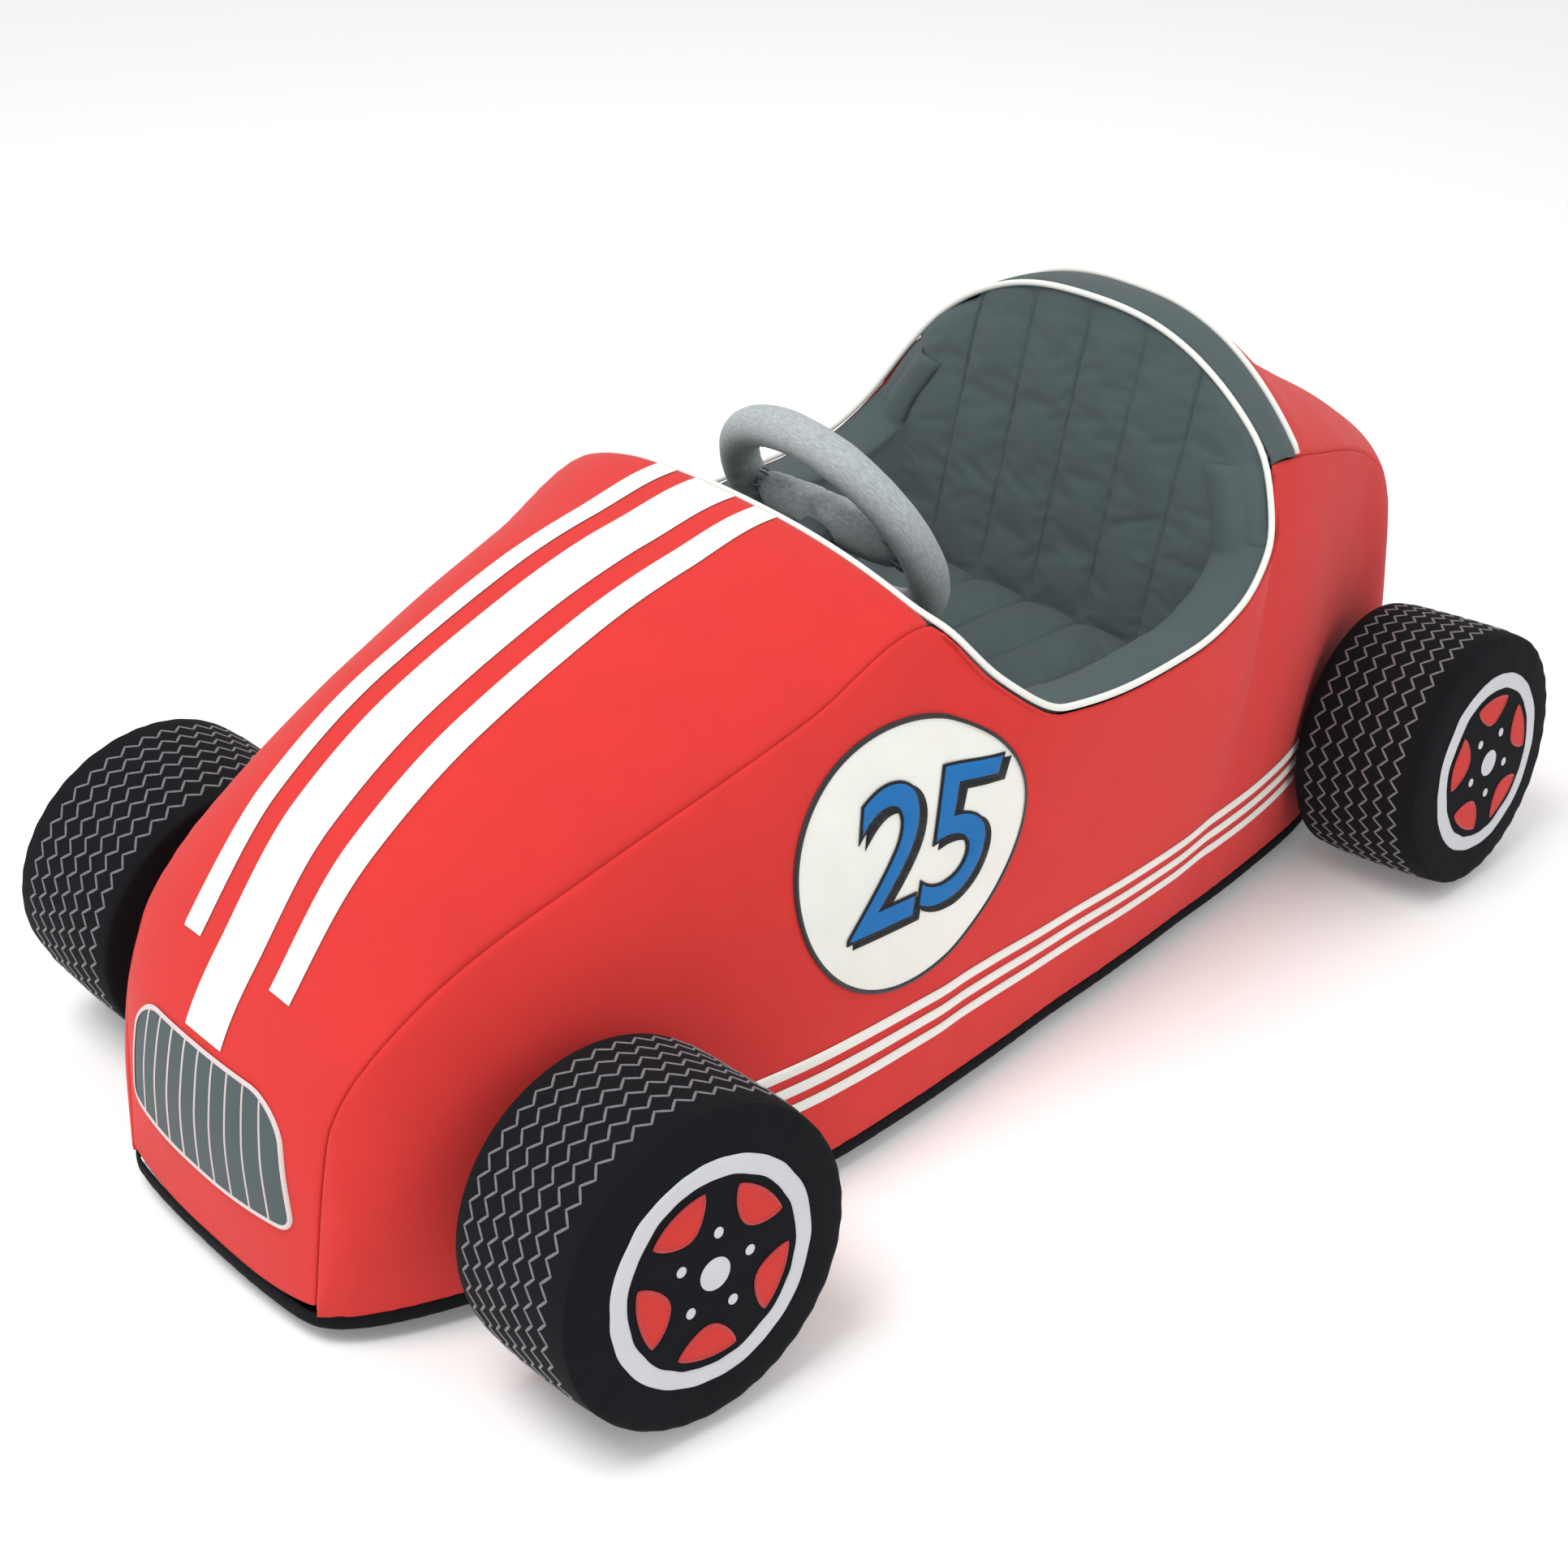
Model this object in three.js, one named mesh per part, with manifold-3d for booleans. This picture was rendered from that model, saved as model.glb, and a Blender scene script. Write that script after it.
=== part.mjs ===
// A soft upholstered racing car for a toddler to sit and lounge in: foam blocks under sewn covers.
// Millimetres, +Z up, nose towards -Y, the car's left towards +X, standing on z = 0.
import * as THREE from "three";
import { mergeVertices } from "three/addons/utils/BufferGeometryUtils.js";
import Module from "manifold-3d";

const wasm = await Module();
wasm.setup();

// Overall lengths, measured along the car from the front axle.
const NOSE_OVERHANG = 134; // front axle to the foot of the nose
const HOOD_LENGTH = 423; // foot of the nose to the cowl corner
const COCKPIT_LENGTH = 336; // cowl corner to the front of the headrest arch
const BAND_DEPTH = 35; // depth of the headrest band
const TAIL_LENGTH = 292; // rear of the band to the foot of the tail
const WHEELBASE = 837;

// Body sizes across and up.
const BODY_WIDTH = 430; // widest place, at the cockpit rim
const ARCH_HEIGHT = 458; // floor to the top of the headrest arch
const GROUND_CLEARANCE = 13;
const BINDING_HEIGHT = 9;
const CROWN_POWER = 2.5; // how flat the middle of the hood and the arch is

// Cloth, foam and fit.
const COVER = 3; // cloth with its wadding
const BINDING_PROUD = 0.8;
const GAP = 0.4; // between pieces that touch
const PATCH = 1.2; // an applique with its satin edge
const FLOOR_FOAM = 25;
const PIPING_RADIUS = 2.6;

// Seat.
const SEAT_HEIGHT = 236;
const SEAT_PAD = 36;
const SEAT_HALF_WIDTH = 130;
const SEAT_FRONT = 372; // from the front axle
const BACK_FOOT = 579; // where the back meets the seat
const BACK_SLOPE = 0.215; // rearward per unit of height
const BACK_PAD = 32;
const LINER = 12;
const LINER_SHELF = 42; // width of the padded top of the side liner
const FOOTWELL_FRONT = 60;
const FOOTWELL_HALF_WIDTH = 118;
const FOOTWELL_HEIGHT = 250; // to its ceiling
const DASH = 12;
const DASH_FOOT = 254;

// Steering wheel.
const STEERING_RADIUS = 83;
const STEERING_TUBE = 14;
const STEERING_Y = 372;
const STEERING_Z = 356;
const STEERING_TILT = 29.8; // degrees from upright
const SPOKE_HEIGHT = 46;
const SPOKE_THICKNESS = 26;
const STALK_RADIUS = 15;

// Wheels.
const TYRE_RADIUS = 100;
const TYRE_WIDTH = 103.5;
const TREAD = 6;
const TREAD_CROWN = 1.2;
const FACE_BULGE = 6;
const FACE = 5;
const RING_OUTER = 71.5;
const RING_INNER = 59.7;
const MOUNT_RADIUS = 48;
const MOUNT_REACH = 45; // long enough to meet the body
const FRONT_TRACK = BODY_WIDTH / 2 + 86;
const REAR_TRACK = BODY_WIDTH / 2 + 12 + TYRE_RADIUS / 5; // a larger tyre stands further off the tail
const FRONT_WHEEL = { x: FRONT_TRACK, y: 0, camber: 5.4, toe: 2.3 };
const REAR_WHEEL = { x: REAR_TRACK, y: WHEELBASE, camber: 4, toe: -3.6 };

// Trim on the covers.
const ROUNDEL_RADIUS = 91;
const ROUNDEL_Y = 262;
const ROUNDEL_Z = 222;
const GRILLE = { halfTop: 75, halfFoot: 88, foot: 74, top: 159 };
const STRIPES = [
  { name: "left", x: 46.5, width: 19, reach: 0.0875 },
  { name: "centre", x: 0, width: 38, reach: 0.0426 },
  { name: "right", x: -46.5, width: 19, reach: 0.0875 },
];
const SIDE_STRIPE = 8;
const SIDE_STRIPE_PITCH = 15.5;
const SIDE_STRIPE_TOP = 112;
const SIDE_STRIPE_FRONT = 95;
const SIDE_STRIPE_REAR = 735;

const COWL = HOOD_LENGTH - NOSE_OVERHANG;
const ARCH = COWL + COCKPIT_LENGTH;
const BAND_REAR = ARCH + BAND_DEPTH;
const COVER_FOOT = GROUND_CLEARANCE + BINDING_HEIGHT + GAP;
const HALF = BODY_WIDTH / 2;

// The body's lines. Each row is a station: how far it lies through its section of the car, the half widths
// of the side at its foot, middle and top, the height of its top edge, and how far ahead of that edge and
// how high the middle of the top panel is. Widths are shares of the half width, heights of the arch height.
const HOOD_LINES = [
  [0.0, 0.488, 0.493, 0.488, 0.066, 6, 0.049],
  [0.022, 0.526, 0.548, 0.507, 0.262, 16, 0.262],
  [0.038, 0.553, 0.577, 0.512, 0.336, 15, 0.349],
  [0.104, 0.619, 0.647, 0.558, 0.434, 8, 0.476],
  [0.246, 0.707, 0.744, 0.6, 0.522, 15, 0.62],
  [0.435, 0.79, 0.823, 0.656, 0.594, 12, 0.74],
  [0.79, 0.884, 0.893, 0.753, 0.718, 7, 0.86],
  [1.0, 0.865, 0.902, 0.795, 0.801, 22, 0.886],
];
const COCKPIT_LINES = [
  [0.1, 0.851, 0.907, 0.926, 0.716, 0, 0.716],
  [0.25, 0.828, 0.907, 0.995, 0.644, 0, 0.644],
  [0.43, 0.795, 0.898, 1.0, 0.633, 0, 0.633],
  [0.625, 0.767, 0.888, 0.995, 0.642, 0, 0.642],
  [0.807, 0.735, 0.865, 0.958, 0.668, 0, 0.668],
  [0.943, 0.707, 0.828, 0.898, 0.742, 0, 0.742],
];
const BAND_LINES = [
  [0.0, 0.698, 0.809, 0.791, 0.836, 0, 1],
  [1.0, 0.679, 0.781, 0.763, 0.825, 0, 1],
];
const TAIL_LINES = [
  [0.178, 0.642, 0.716, 0.698, 0.793, -4, 0.911],
  [0.384, 0.591, 0.605, 0.605, 0.751, -10, 0.828],
  [0.651, 0.48, 0.49, 0.46, 0.675, -16, 0.729],
  [0.822, 0.42, 0.44, 0.4, 0.595, -25, 0.635],
  [0.942, 0.355, 0.36, 0.33, 0.452, -28, 0.49],
  [0.986, 0.31, 0.31, 0.29, 0.262, -27, 0.284],
  [1.0, 0.25, 0.25, 0.25, 0.066, -20, 0.049],
];

// Rows of the whole body from nose to tail, in millimetres.
function stationRows() {
  const sections = [
    [HOOD_LINES, -NOSE_OVERHANG, HOOD_LENGTH],
    [COCKPIT_LINES, COWL, COCKPIT_LENGTH],
    [BAND_LINES, ARCH, BAND_DEPTH],
    [TAIL_LINES, BAND_REAR, TAIL_LENGTH],
  ];
  return sections.flatMap(([lines, start, length]) =>
    lines.map(([share, foot, middle, top, edge, ahead, centre]) => ({
      y: start + share * length,
      foot: foot * HALF,
      middle: middle * HALF,
      top: top * HALF,
      edge: edge * ARCH_HEIGHT,
      ahead,
      centre: centre * ARCH_HEIGHT,
    })),
  );
}
const ROWS = stationRows();

// A value of the lines at any y: a smooth curve through the rows that never overshoots them.
function line(key, y) {
  const last = ROWS.length - 1;
  let k = ROWS.findIndex((row) => row.y > y) - 1;
  if (k < 0) k = y <= ROWS[0].y ? 0 : last - 1;
  const slope = (i) => (ROWS[i + 1][key] - ROWS[i][key]) / (ROWS[i + 1].y - ROWS[i].y);
  const tangent = (i) => {
    if (i === 0) return slope(0);
    if (i === last) return slope(last - 1);
    const [before, after] = [slope(i - 1), slope(i)];
    return before * after <= 0 ? 0 : (2 * before * after) / (before + after);
  };
  const [a, b] = [ROWS[k], ROWS[k + 1]];
  const h = b.y - a.y;
  const t = THREE.MathUtils.clamp((y - a.y) / h, 0, 1);
  const [t2, t3] = [t * t, t * t * t];
  return (
    a[key] * (2 * t3 - 3 * t2 + 1) +
    tangent(k) * h * (t3 - 2 * t2 + t) +
    b[key] * (3 * t2 - 2 * t3) +
    tangent(k + 1) * h * (t3 - t2)
  );
}

// Unit direction into the body at the top edge, in the plane of y and z.
function inward(y) {
  const step = 2;
  const dz = line("edge", y + step) - line("edge", y - step);
  const dy =
    Math.min(y + step, ROWS.at(-1).y) - Math.max(y - step, ROWS[0].y);
  const length = Math.hypot(dy, dz);
  return { y: dz / length, z: -dy / length };
}

// A point on the left side, share of the way up from its foot to its top edge, under an inset.
function sidePoint(y, share, inset = 0) {
  const [foot, middle, top] = ["foot", "middle", "top"].map((key) => line(key, y));
  const width =
    foot * (1 - share) * (1 - 2 * share) +
    4 * middle * share * (1 - share) +
    top * share * (2 * share - 1);
  const into = inward(y);
  const upper = line("edge", y) + into.z * inset;
  return new THREE.Vector3(
    width - inset,
    y + into.y * inset,
    THREE.MathUtils.lerp(COVER_FOOT, upper, share),
  );
}

// A point on the crowned top panel, across from -1 on the right edge to 1 on the left.
function topPoint(y, across, inset = 0) {
  const into = inward(y);
  const fall = Math.abs(across) ** CROWN_POWER;
  return new THREE.Vector3(
    across * (line("top", y) - inset),
    y - line("ahead", y) * (1 - fall) + into.y * inset,
    THREE.MathUtils.lerp(line("centre", y), line("edge", y), fall) + into.z * inset,
  );
}

// Stations between two places: each row there, with even steps between the rows.
function stations(from, to, steps = 2) {
  const rows = ROWS.map((row) => row.y).filter((y) => y > from + 1 && y < to - 1);
  const ends = [from, ...rows, to];
  const list = [from];
  for (let i = 1; i < ends.length; i++)
    for (let k = 1; k <= steps; k++)
      list.push(THREE.MathUtils.lerp(ends[i - 1], ends[i], k / steps));
  return list;
}

const spread = (count, from, to) =>
  Array.from({ length: count + 1 }, (_, i) => THREE.MathUtils.lerp(from, to, i / count));
const mirrored = (grid) => grid.map((row) => row.map((p) => new THREE.Vector3(-p.x, p.y, p.z)));

// Turns a closed geometry's faces outwards if they point in.
function facingOut(geometry) {
  const p = geometry.attributes.position;
  const index = geometry.index.array;
  const [a, b, c] = [new THREE.Vector3(), new THREE.Vector3(), new THREE.Vector3()];
  let volume = 0;
  for (let i = 0; i < index.length; i += 3) {
    a.fromBufferAttribute(p, index[i]);
    b.fromBufferAttribute(p, index[i + 1]);
    c.fromBufferAttribute(p, index[i + 2]);
    volume += a.dot(b.cross(c));
  }
  if (volume < 0)
    for (let i = 0; i < index.length; i += 3)
      [index[i], index[i + 1]] = [index[i + 1], index[i]];
  return geometry;
}

// A closed solid between two grids of points that face each other. Rows that run from the left to the
// right of the car are cut into triangles the same way on both sides.
function slab(outer, inner, acrossCar = false) {
  const [rows, columns] = [outer.length, outer[0].length];
  const at = (skin, i, j) => (skin * rows + i) * columns + j;
  const faces = [];
  const quad = (a, b, c, d) => faces.push(a, b, c, a, c, d);
  const [r, c] = [rows - 1, columns - 1];
  for (let i = 0; i < r; i++)
    for (let j = 0; j < c; j++) {
      const corners = [[i, j], [i + 1, j], [i + 1, j + 1], [i, j + 1]];
      if (acrossCar && j >= c / 2) corners.unshift(corners.pop());
      const [a, b, d, e] = corners;
      quad(at(0, ...a), at(0, ...b), at(0, ...d), at(0, ...e));
      quad(at(1, ...a), at(1, ...e), at(1, ...d), at(1, ...b));
    }
  for (let j = 0; j < c; j++) {
    quad(at(0, 0, j), at(0, 0, j + 1), at(1, 0, j + 1), at(1, 0, j));
    quad(at(0, r, j + 1), at(0, r, j), at(1, r, j), at(1, r, j + 1));
  }
  for (let i = 0; i < r; i++) {
    quad(at(0, i + 1, 0), at(0, i, 0), at(1, i, 0), at(1, i + 1, 0));
    quad(at(0, i, c), at(0, i + 1, c), at(1, i + 1, c), at(1, i, c));
  }
  const geometry = new THREE.BufferGeometry();
  geometry.setFromPoints([...outer.flat(), ...inner.flat()]);
  geometry.setIndex(faces);
  return facingOut(geometry);
}

// Booleans: a geometry as a solid, and back.
function solid(geometry) {
  const bare = new THREE.BufferGeometry().setAttribute("position", geometry.attributes.position);
  if (geometry.index) bare.setIndex(geometry.index);
  const merged = mergeVertices(bare, 1e-3);
  return new wasm.Manifold(
    new wasm.Mesh({
      numProp: 3,
      vertProperties: new Float32Array(merged.attributes.position.array),
      triVerts: new Uint32Array(merged.index.array),
    }),
  );
}
function geometryOf(manifold) {
  const mesh = manifold.getMesh();
  const geometry = new THREE.BufferGeometry();
  geometry.setAttribute("position", new THREE.BufferAttribute(new Float32Array(mesh.vertProperties), 3));
  geometry.setIndex([...mesh.triVerts]);
  return geometry;
}
function block(low, high) {
  const box = new THREE.BoxGeometry(high[0] - low[0], high[1] - low[1], high[2] - low[2]);
  box.translate((low[0] + high[0]) / 2, (low[1] + high[1]) / 2, (low[2] + high[2]) / 2);
  return box;
}
const FAR = 900; // past every side of the body

const car = new THREE.Group();
const CLOTH = { red: "#d9403b", black: "#1d2023", grey: "#4f5b5f", white: "#efefe9", marl: "#8a9092" };
const FINISH = {
  red: { color: CLOTH.red, roughness: 0.9 },
  black: { color: CLOTH.black, roughness: 0.9 },
  grey: { color: CLOTH.grey, roughness: 0.9 },
  white: { color: CLOTH.white, roughness: 0.85 },
  marl: { color: CLOTH.marl, roughness: 0.95 },
  silver: { color: "#c9cbd0", roughness: 0.5 },
  foam: { color: "#d8cfa8", roughness: 1 },
};
function add(name, geometry, finish, group = car) {
  const mesh = new THREE.Mesh(geometry, new THREE.MeshStandardMaterial({ metalness: 0, ...FINISH[finish] }));
  mesh.name = name;
  group.add(mesh);
  return mesh;
}

// The whole length of the car in stations, and the piece of it between two of them.
const STATIONS = [...new Set([
  ...stations(-NOSE_OVERHANG, COWL, 2),
  ...stations(COWL, ARCH, 1),
  ...stations(ARCH, BAND_REAR, 1),
  ...stations(BAND_REAR, BAND_REAR + TAIL_LENGTH, 1),
])];
const between = (from, to) => STATIONS.filter((y) => y > from - 0.01 && y < to + 0.01);
const SIDE_STEPS = 5;
const TOP_STEPS = 8;

const sideGrid = (inset, list = STATIONS) =>
  list.map((y) => spread(SIDE_STEPS, 0, 0.997).map((share) => sidePoint(y, share, inset)));
const topGrid = (inset, list) =>
  list.map((y) => spread(TOP_STEPS, 0.998, -0.998).map((across) => topPoint(y, across, inset)));

function covers() {
  const [outer, inner] = [sideGrid(0), sideGrid(COVER)];
  const clear = solid(pipingCord(GAP));
  const trimmed = (geometry) => geometryOf(solid(geometry).subtract(clear));
  add("side_cover_left", trimmed(slab(outer, inner)), "red");
  add("side_cover_right", trimmed(slab(mirrored(outer), mirrored(inner))), "red");
  const hood = between(STATIONS[0], COWL);
  add("hood_cover", trimmed(slab(topGrid(0, hood), topGrid(COVER, hood), true)), "red");
  const band = [ARCH, BAND_REAR - GAP];
  add("headrest_band", trimmed(slab(topGrid(0, band), topGrid(COVER, band), true)), "grey");
  const tail = between(BAND_REAR, 2 * FAR);
  tail[0] += GAP;
  add("tail_cover", slab(topGrid(0, tail), topGrid(COVER, tail), true), "red");
}

// The outline of the body's foot, drawn in by an inset.
function footShape(inset) {
  const left = sideGrid(inset).map((row) => row[0]);
  const right = left.map((p) => new THREE.Vector3(-p.x, p.y, p.z)).reverse();
  const nose = [-0.5, 0, 0.5].map((across) => topPoint(STATIONS[0], across, inset));
  const tail = [0.5, 0, -0.5].map((across) => topPoint(STATIONS.at(-1), across, inset));
  return new THREE.Shape([...left, ...tail, ...right, ...nose].map((p) => new THREE.Vector2(p.x, p.y)));
}
function flatPiece(shape, low, high) {
  const geometry = new THREE.ExtrudeGeometry(shape, { depth: high - low, bevelEnabled: false });
  geometry.translate(0, 0, low);
  return geometry;
}

function base() {
  const top = GROUND_CLEARANCE + BINDING_HEIGHT;
  const ring = footShape(-BINDING_PROUD);
  ring.holes.push(new THREE.Path(footShape(COVER).getPoints()));
  add("base_binding", flatPiece(ring, GROUND_CLEARANCE, top), "black");
  const sole = GROUND_CLEARANCE + COVER;
  const inside = footShape(COVER + 3 * GAP);
  add("base_cover", flatPiece(inside, GROUND_CLEARANCE, sole), "black");
  add("floor_foam", flatPiece(inside, sole + GAP, sole + FLOOR_FOAM), "foam");
}

// The plane of the seat's back, and the half of space in front of it or behind it.
const backFace = (z) => BACK_FOOT + (z - SEAT_HEIGHT) * BACK_SLOPE;
function besideBack(shift, side) {
  const plane = [-10, FAR].map((z) => [FAR, -FAR].map((x) => new THREE.Vector3(x, backFace(z) + shift, z)));
  const end = plane.map((row) => row.map((p) => new THREE.Vector3(p.x, side * 2 * FAR, p.z)));
  return solid(slab(plane, end));
}

// The side liner's section at a station: from the rim, over its padded shelf and down to the seat.
const LINER_TURN = [[0, -1], [0, -1], [0.5, -0.87], [0.87, -0.5], [1, 0], [1, -0.4]];
function linerSection(y, depth) {
  const rim = sidePoint(y, 1, COVER + GAP);
  const shelf = LINER_SHELF * THREE.MathUtils.clamp((y - COWL) / 60, 0.25, 1);
  const foot = SEAT_HALF_WIDTH + GAP;
  const lean = ((rim.y - COWL) / (ARCH - COWL)) * BACK_SLOPE;
  const outline = [
    [rim.x - 3, rim.z - 4],
    [rim.x - shelf * 0.5, rim.z + 1],
    [Math.max(rim.x - shelf, foot + 1), rim.z - 4],
    [Math.max(rim.x - shelf - 6, foot + 0.5), rim.z - 14],
    [THREE.MathUtils.lerp(foot, Math.max(rim.x - shelf, foot), 0.35), (rim.z + SEAT_HEIGHT) / 2 - 10],
    [foot, SEAT_HEIGHT - 12],
  ];
  return outline.map(([x, z], i) => {
    const [across, up] = LINER_TURN[i];
    return new THREE.Vector3(x + across * depth, rim.y + (z - rim.z) * lean, z + up * depth);
  });
}

// The quilted back: its foot on the seat foam, its top edge under the arch.
function backPad(grow) {
  const foot = SEAT_HEIGHT - SEAT_PAD + GAP - grow;
  const grid = (depth) =>
    spread(5, 0, 1).map((rise) => {
      const z = THREE.MathUtils.lerp(foot, ARCH_HEIGHT + 5, rise);
      const half = THREE.MathUtils.lerp(SEAT_HALF_WIDTH, line("top", ARCH) - 12, Math.min(rise * 1.5, 1));
      return spread(2, 1, -1).map((s) => new THREE.Vector3(s * (half + grow), backFace(z) + depth, z));
    });
  return slab(grid(-grow), grid(BACK_PAD + grow), true);
}

// The grey panel that closes the cowl behind its piping, from rim to rim.
function dashLiner(grow) {
  const start = DASH_START - grow;
  const grid = (depth) =>
    spread(2, 0, 1).map((drop) =>
      spread(TOP_STEPS, 0.9, -0.9).map((share) => {
        const edge = topPoint(COWL, share, COVER + GAP - grow);
        const z = THREE.MathUtils.lerp(edge.z - 3, DASH_FOOT - grow, drop);
        return new THREE.Vector3(edge.x * (1 + grow / 150), edge.y + depth, z);
      }),
    );
  return slab(grid(start), grid(start + DASH + 2 * grow), true);
}
const DASH_START = 2 * PIPING_RADIUS + 2 * GAP;

// The space behind the cowl's curve, above the foot of that panel.
function behindCowl() {
  const front = [2 * ARCH_HEIGHT, DASH_FOOT - GAP].map((z) =>
    spread(TOP_STEPS, 1, -1).map((share) => {
      const edge = topPoint(COWL, share);
      const x = Math.abs(share) === 1 ? share * FAR : edge.x;
      return new THREE.Vector3(x, edge.y + DASH_START - GAP, z);
    }),
  );
  const back = front.map((row) => row.map((p) => new THREE.Vector3(p.x, COWL + 80, p.z)));
  return solid(slab(front, back, true));
}

// The inside of the covers, closed over the cockpit, as one solid to cut the foam blocks from.
function bodySolid(inset, floor) {
  const left = sideGrid(inset);
  const right = mirrored(left).map((row) => row.reverse());
  const top = topGrid(inset, STATIONS);
  const down = (p) => new THREE.Vector3(p.x, p.y, 0);
  const outer = STATIONS.map((_, i) => {
    const row = [...left[i].slice(0, -1), ...top[i], ...right[i].slice(1)];
    return [down(row[0]), ...row, down(row.at(-1))];
  });
  const inner = outer.map((row) => {
    const last = row.length - 1;
    return row.map((_, j) => new THREE.Vector3().lerpVectors(row[0], row[last], j / last));
  });
  return solid(slab(outer, inner, true)).intersect(solid(block([-FAR, -FAR, floor], [FAR, 2 * FAR, FAR])));
}

function interior() {
  const floor = GROUND_CLEARANCE + COVER + FLOOR_FOAM + GAP;
  const [shell, lining] = [sideGrid(-3 * COVER), sideGrid(COVER + GAP)];
  const core = bodySolid(COVER + 2 * GAP, floor)
    .subtract(solid(pipingCord(GAP)))
    .subtract(solid(slab(shell, lining)))
    .subtract(solid(slab(mirrored(shell), mirrored(lining))));
  const ahead = besideBack(-GAP, -1);
  const list = [...stations(COWL, ARCH, 1), ARCH + 30];

  const face = list.map((y) => linerSection(y, 0));
  const back = list.map((y) => linerSection(y, LINER));
  const behindDash = solid(block([-FAR, COWL + DASH_START + DASH + 3 * GAP, 0], [FAR, FAR, FAR]));
  const liner = (outer, inner) => geometryOf(
    solid(slab(outer, inner)).intersect(ahead).intersect(behindDash).subtract(solid(pipingCord(GAP))),
  );
  add("side_liner_left", liner(face, back), "grey");
  add("side_liner_right", liner(mirrored(face), mirrored(back)), "grey");
  add("back_pad", geometryOf(core.intersect(solid(backPad(0)))), "grey");
  add("dash_liner", geometryOf(core.intersect(solid(dashLiner(0)))), "grey");
  const seatRear = (z) => backFace(z) - GAP;
  const seat = [SEAT_HEIGHT - SEAT_PAD, SEAT_HEIGHT];
  add("seat_pad", seatBlock(seat[0], seat[1], seatRear(seat[0])), "grey");
  add("seat_foam", seatBlock(floor, seat[0] - GAP, seatRear(floor)), "foam");

  const cut = list.map((y) => linerSection(y, LINER + GAP));
  const tub = cut.map((row, i) => [...row, ...mirrored([cut[i]])[0].reverse()]);
  const lid = tub.map((row) => row.map((p) => new THREE.Vector3(p.x, p.y, ARCH_HEIGHT + 60)));
  const well = solid(block([-FOOTWELL_HALF_WIDTH, FOOTWELL_FRONT, 0],
    [FOOTWELL_HALF_WIDTH, SEAT_FRONT + 1, FOOTWELL_HEIGHT]));
  const seatSpace = solid(block([-SEAT_HALF_WIDTH - GAP, SEAT_FRONT - GAP, 0],
    [SEAT_HALF_WIDTH + GAP, 2 * ARCH, SEAT_HEIGHT]));
  const front = COWL + DASH_START - GAP;
  const hood = solid(block([-FAR, -FAR, 0], [FAR, front, FAR]));
  add("hood_foam", geometryOf(core.intersect(hood).subtract(well).subtract(behindCowl())), "foam");
  const sides = core
    .intersect(ahead)
    .intersect(solid(block([-FAR, front + GAP, 0], [FAR, FAR, FAR])))
    .subtract(solid(slab(tub, lid, true)))
    .subtract(well)
    .subtract(seatSpace)
    .subtract(solid(dashLiner(GAP)));
  add("side_foam_left", geometryOf(sides.intersect(solid(block([0, -FAR, 0], [FAR, FAR, FAR])))), "foam");
  add("side_foam_right", geometryOf(sides.intersect(solid(block([-FAR, -FAR, 0], [0, FAR, FAR])))), "foam");
  const rear = core.intersect(besideBack(0, 1)).subtract(solid(backPad(GAP)));
  add("tail_foam", geometryOf(rear), "foam");
}
const seatBlock = (low, high, rear) =>
  block([-SEAT_HALF_WIDTH, SEAT_FRONT, low], [SEAT_HALF_WIDTH, rear, high]);

// A round cord along a curve.
function cord(points, closed, radius, steps) {
  const curve = new THREE.CatmullRomCurve3(points, closed, "centripetal");
  const section = new THREE.Shape();
  section.absarc(0, 0, radius, 0, 2 * Math.PI, false);
  return new THREE.ExtrudeGeometry(section, {
    steps,
    curveSegments: 3,
    extrudePath: curve,
    bevelEnabled: false,
  });
}

// The piping round the cockpit: over the cowl, along each rim and over the arch.
function pipingCord(grow) {
  const lift = PIPING_RADIUS + GAP;
  const rim = stations(COWL, ARCH, 1)
    .slice(1, -1)
    .map((y) => {
      const into = inward(y);
      return new THREE.Vector3(line("top", y) - 1.5, y - into.y * lift, line("edge", y) - into.z * lift);
    });
  const over = (y, count, first, shift) =>
    spread(count, first, -first).map((share) => topPoint(y, share).add(new THREE.Vector3(0, shift, -1)));
  const cowl = over(COWL, 6, -0.92, lift + 0.5);
  const arch = over(ARCH, 8, 0.95, -lift - 0.5);
  const far = mirrored([rim])[0].reverse();
  return cord([...cowl, ...rim, ...arch, ...far], true, PIPING_RADIUS + grow, 72);
}

function piping() {
  add("cockpit_piping", pipingCord(0), "white");
  const lift = PIPING_RADIUS + GAP + 0.4;
  const rear = spread(10, 0.99, -0.99).map((share) => {
    const p = topPoint(BAND_REAR, share);
    const middle = new THREE.Vector3(0, p.y, line("edge", ARCH) * 0.6);
    return p.add(p.clone().sub(middle).setLength(lift));
  });
  add("headrest_piping", cord(rear, false, PIPING_RADIUS, 24), "white");
}

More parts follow.
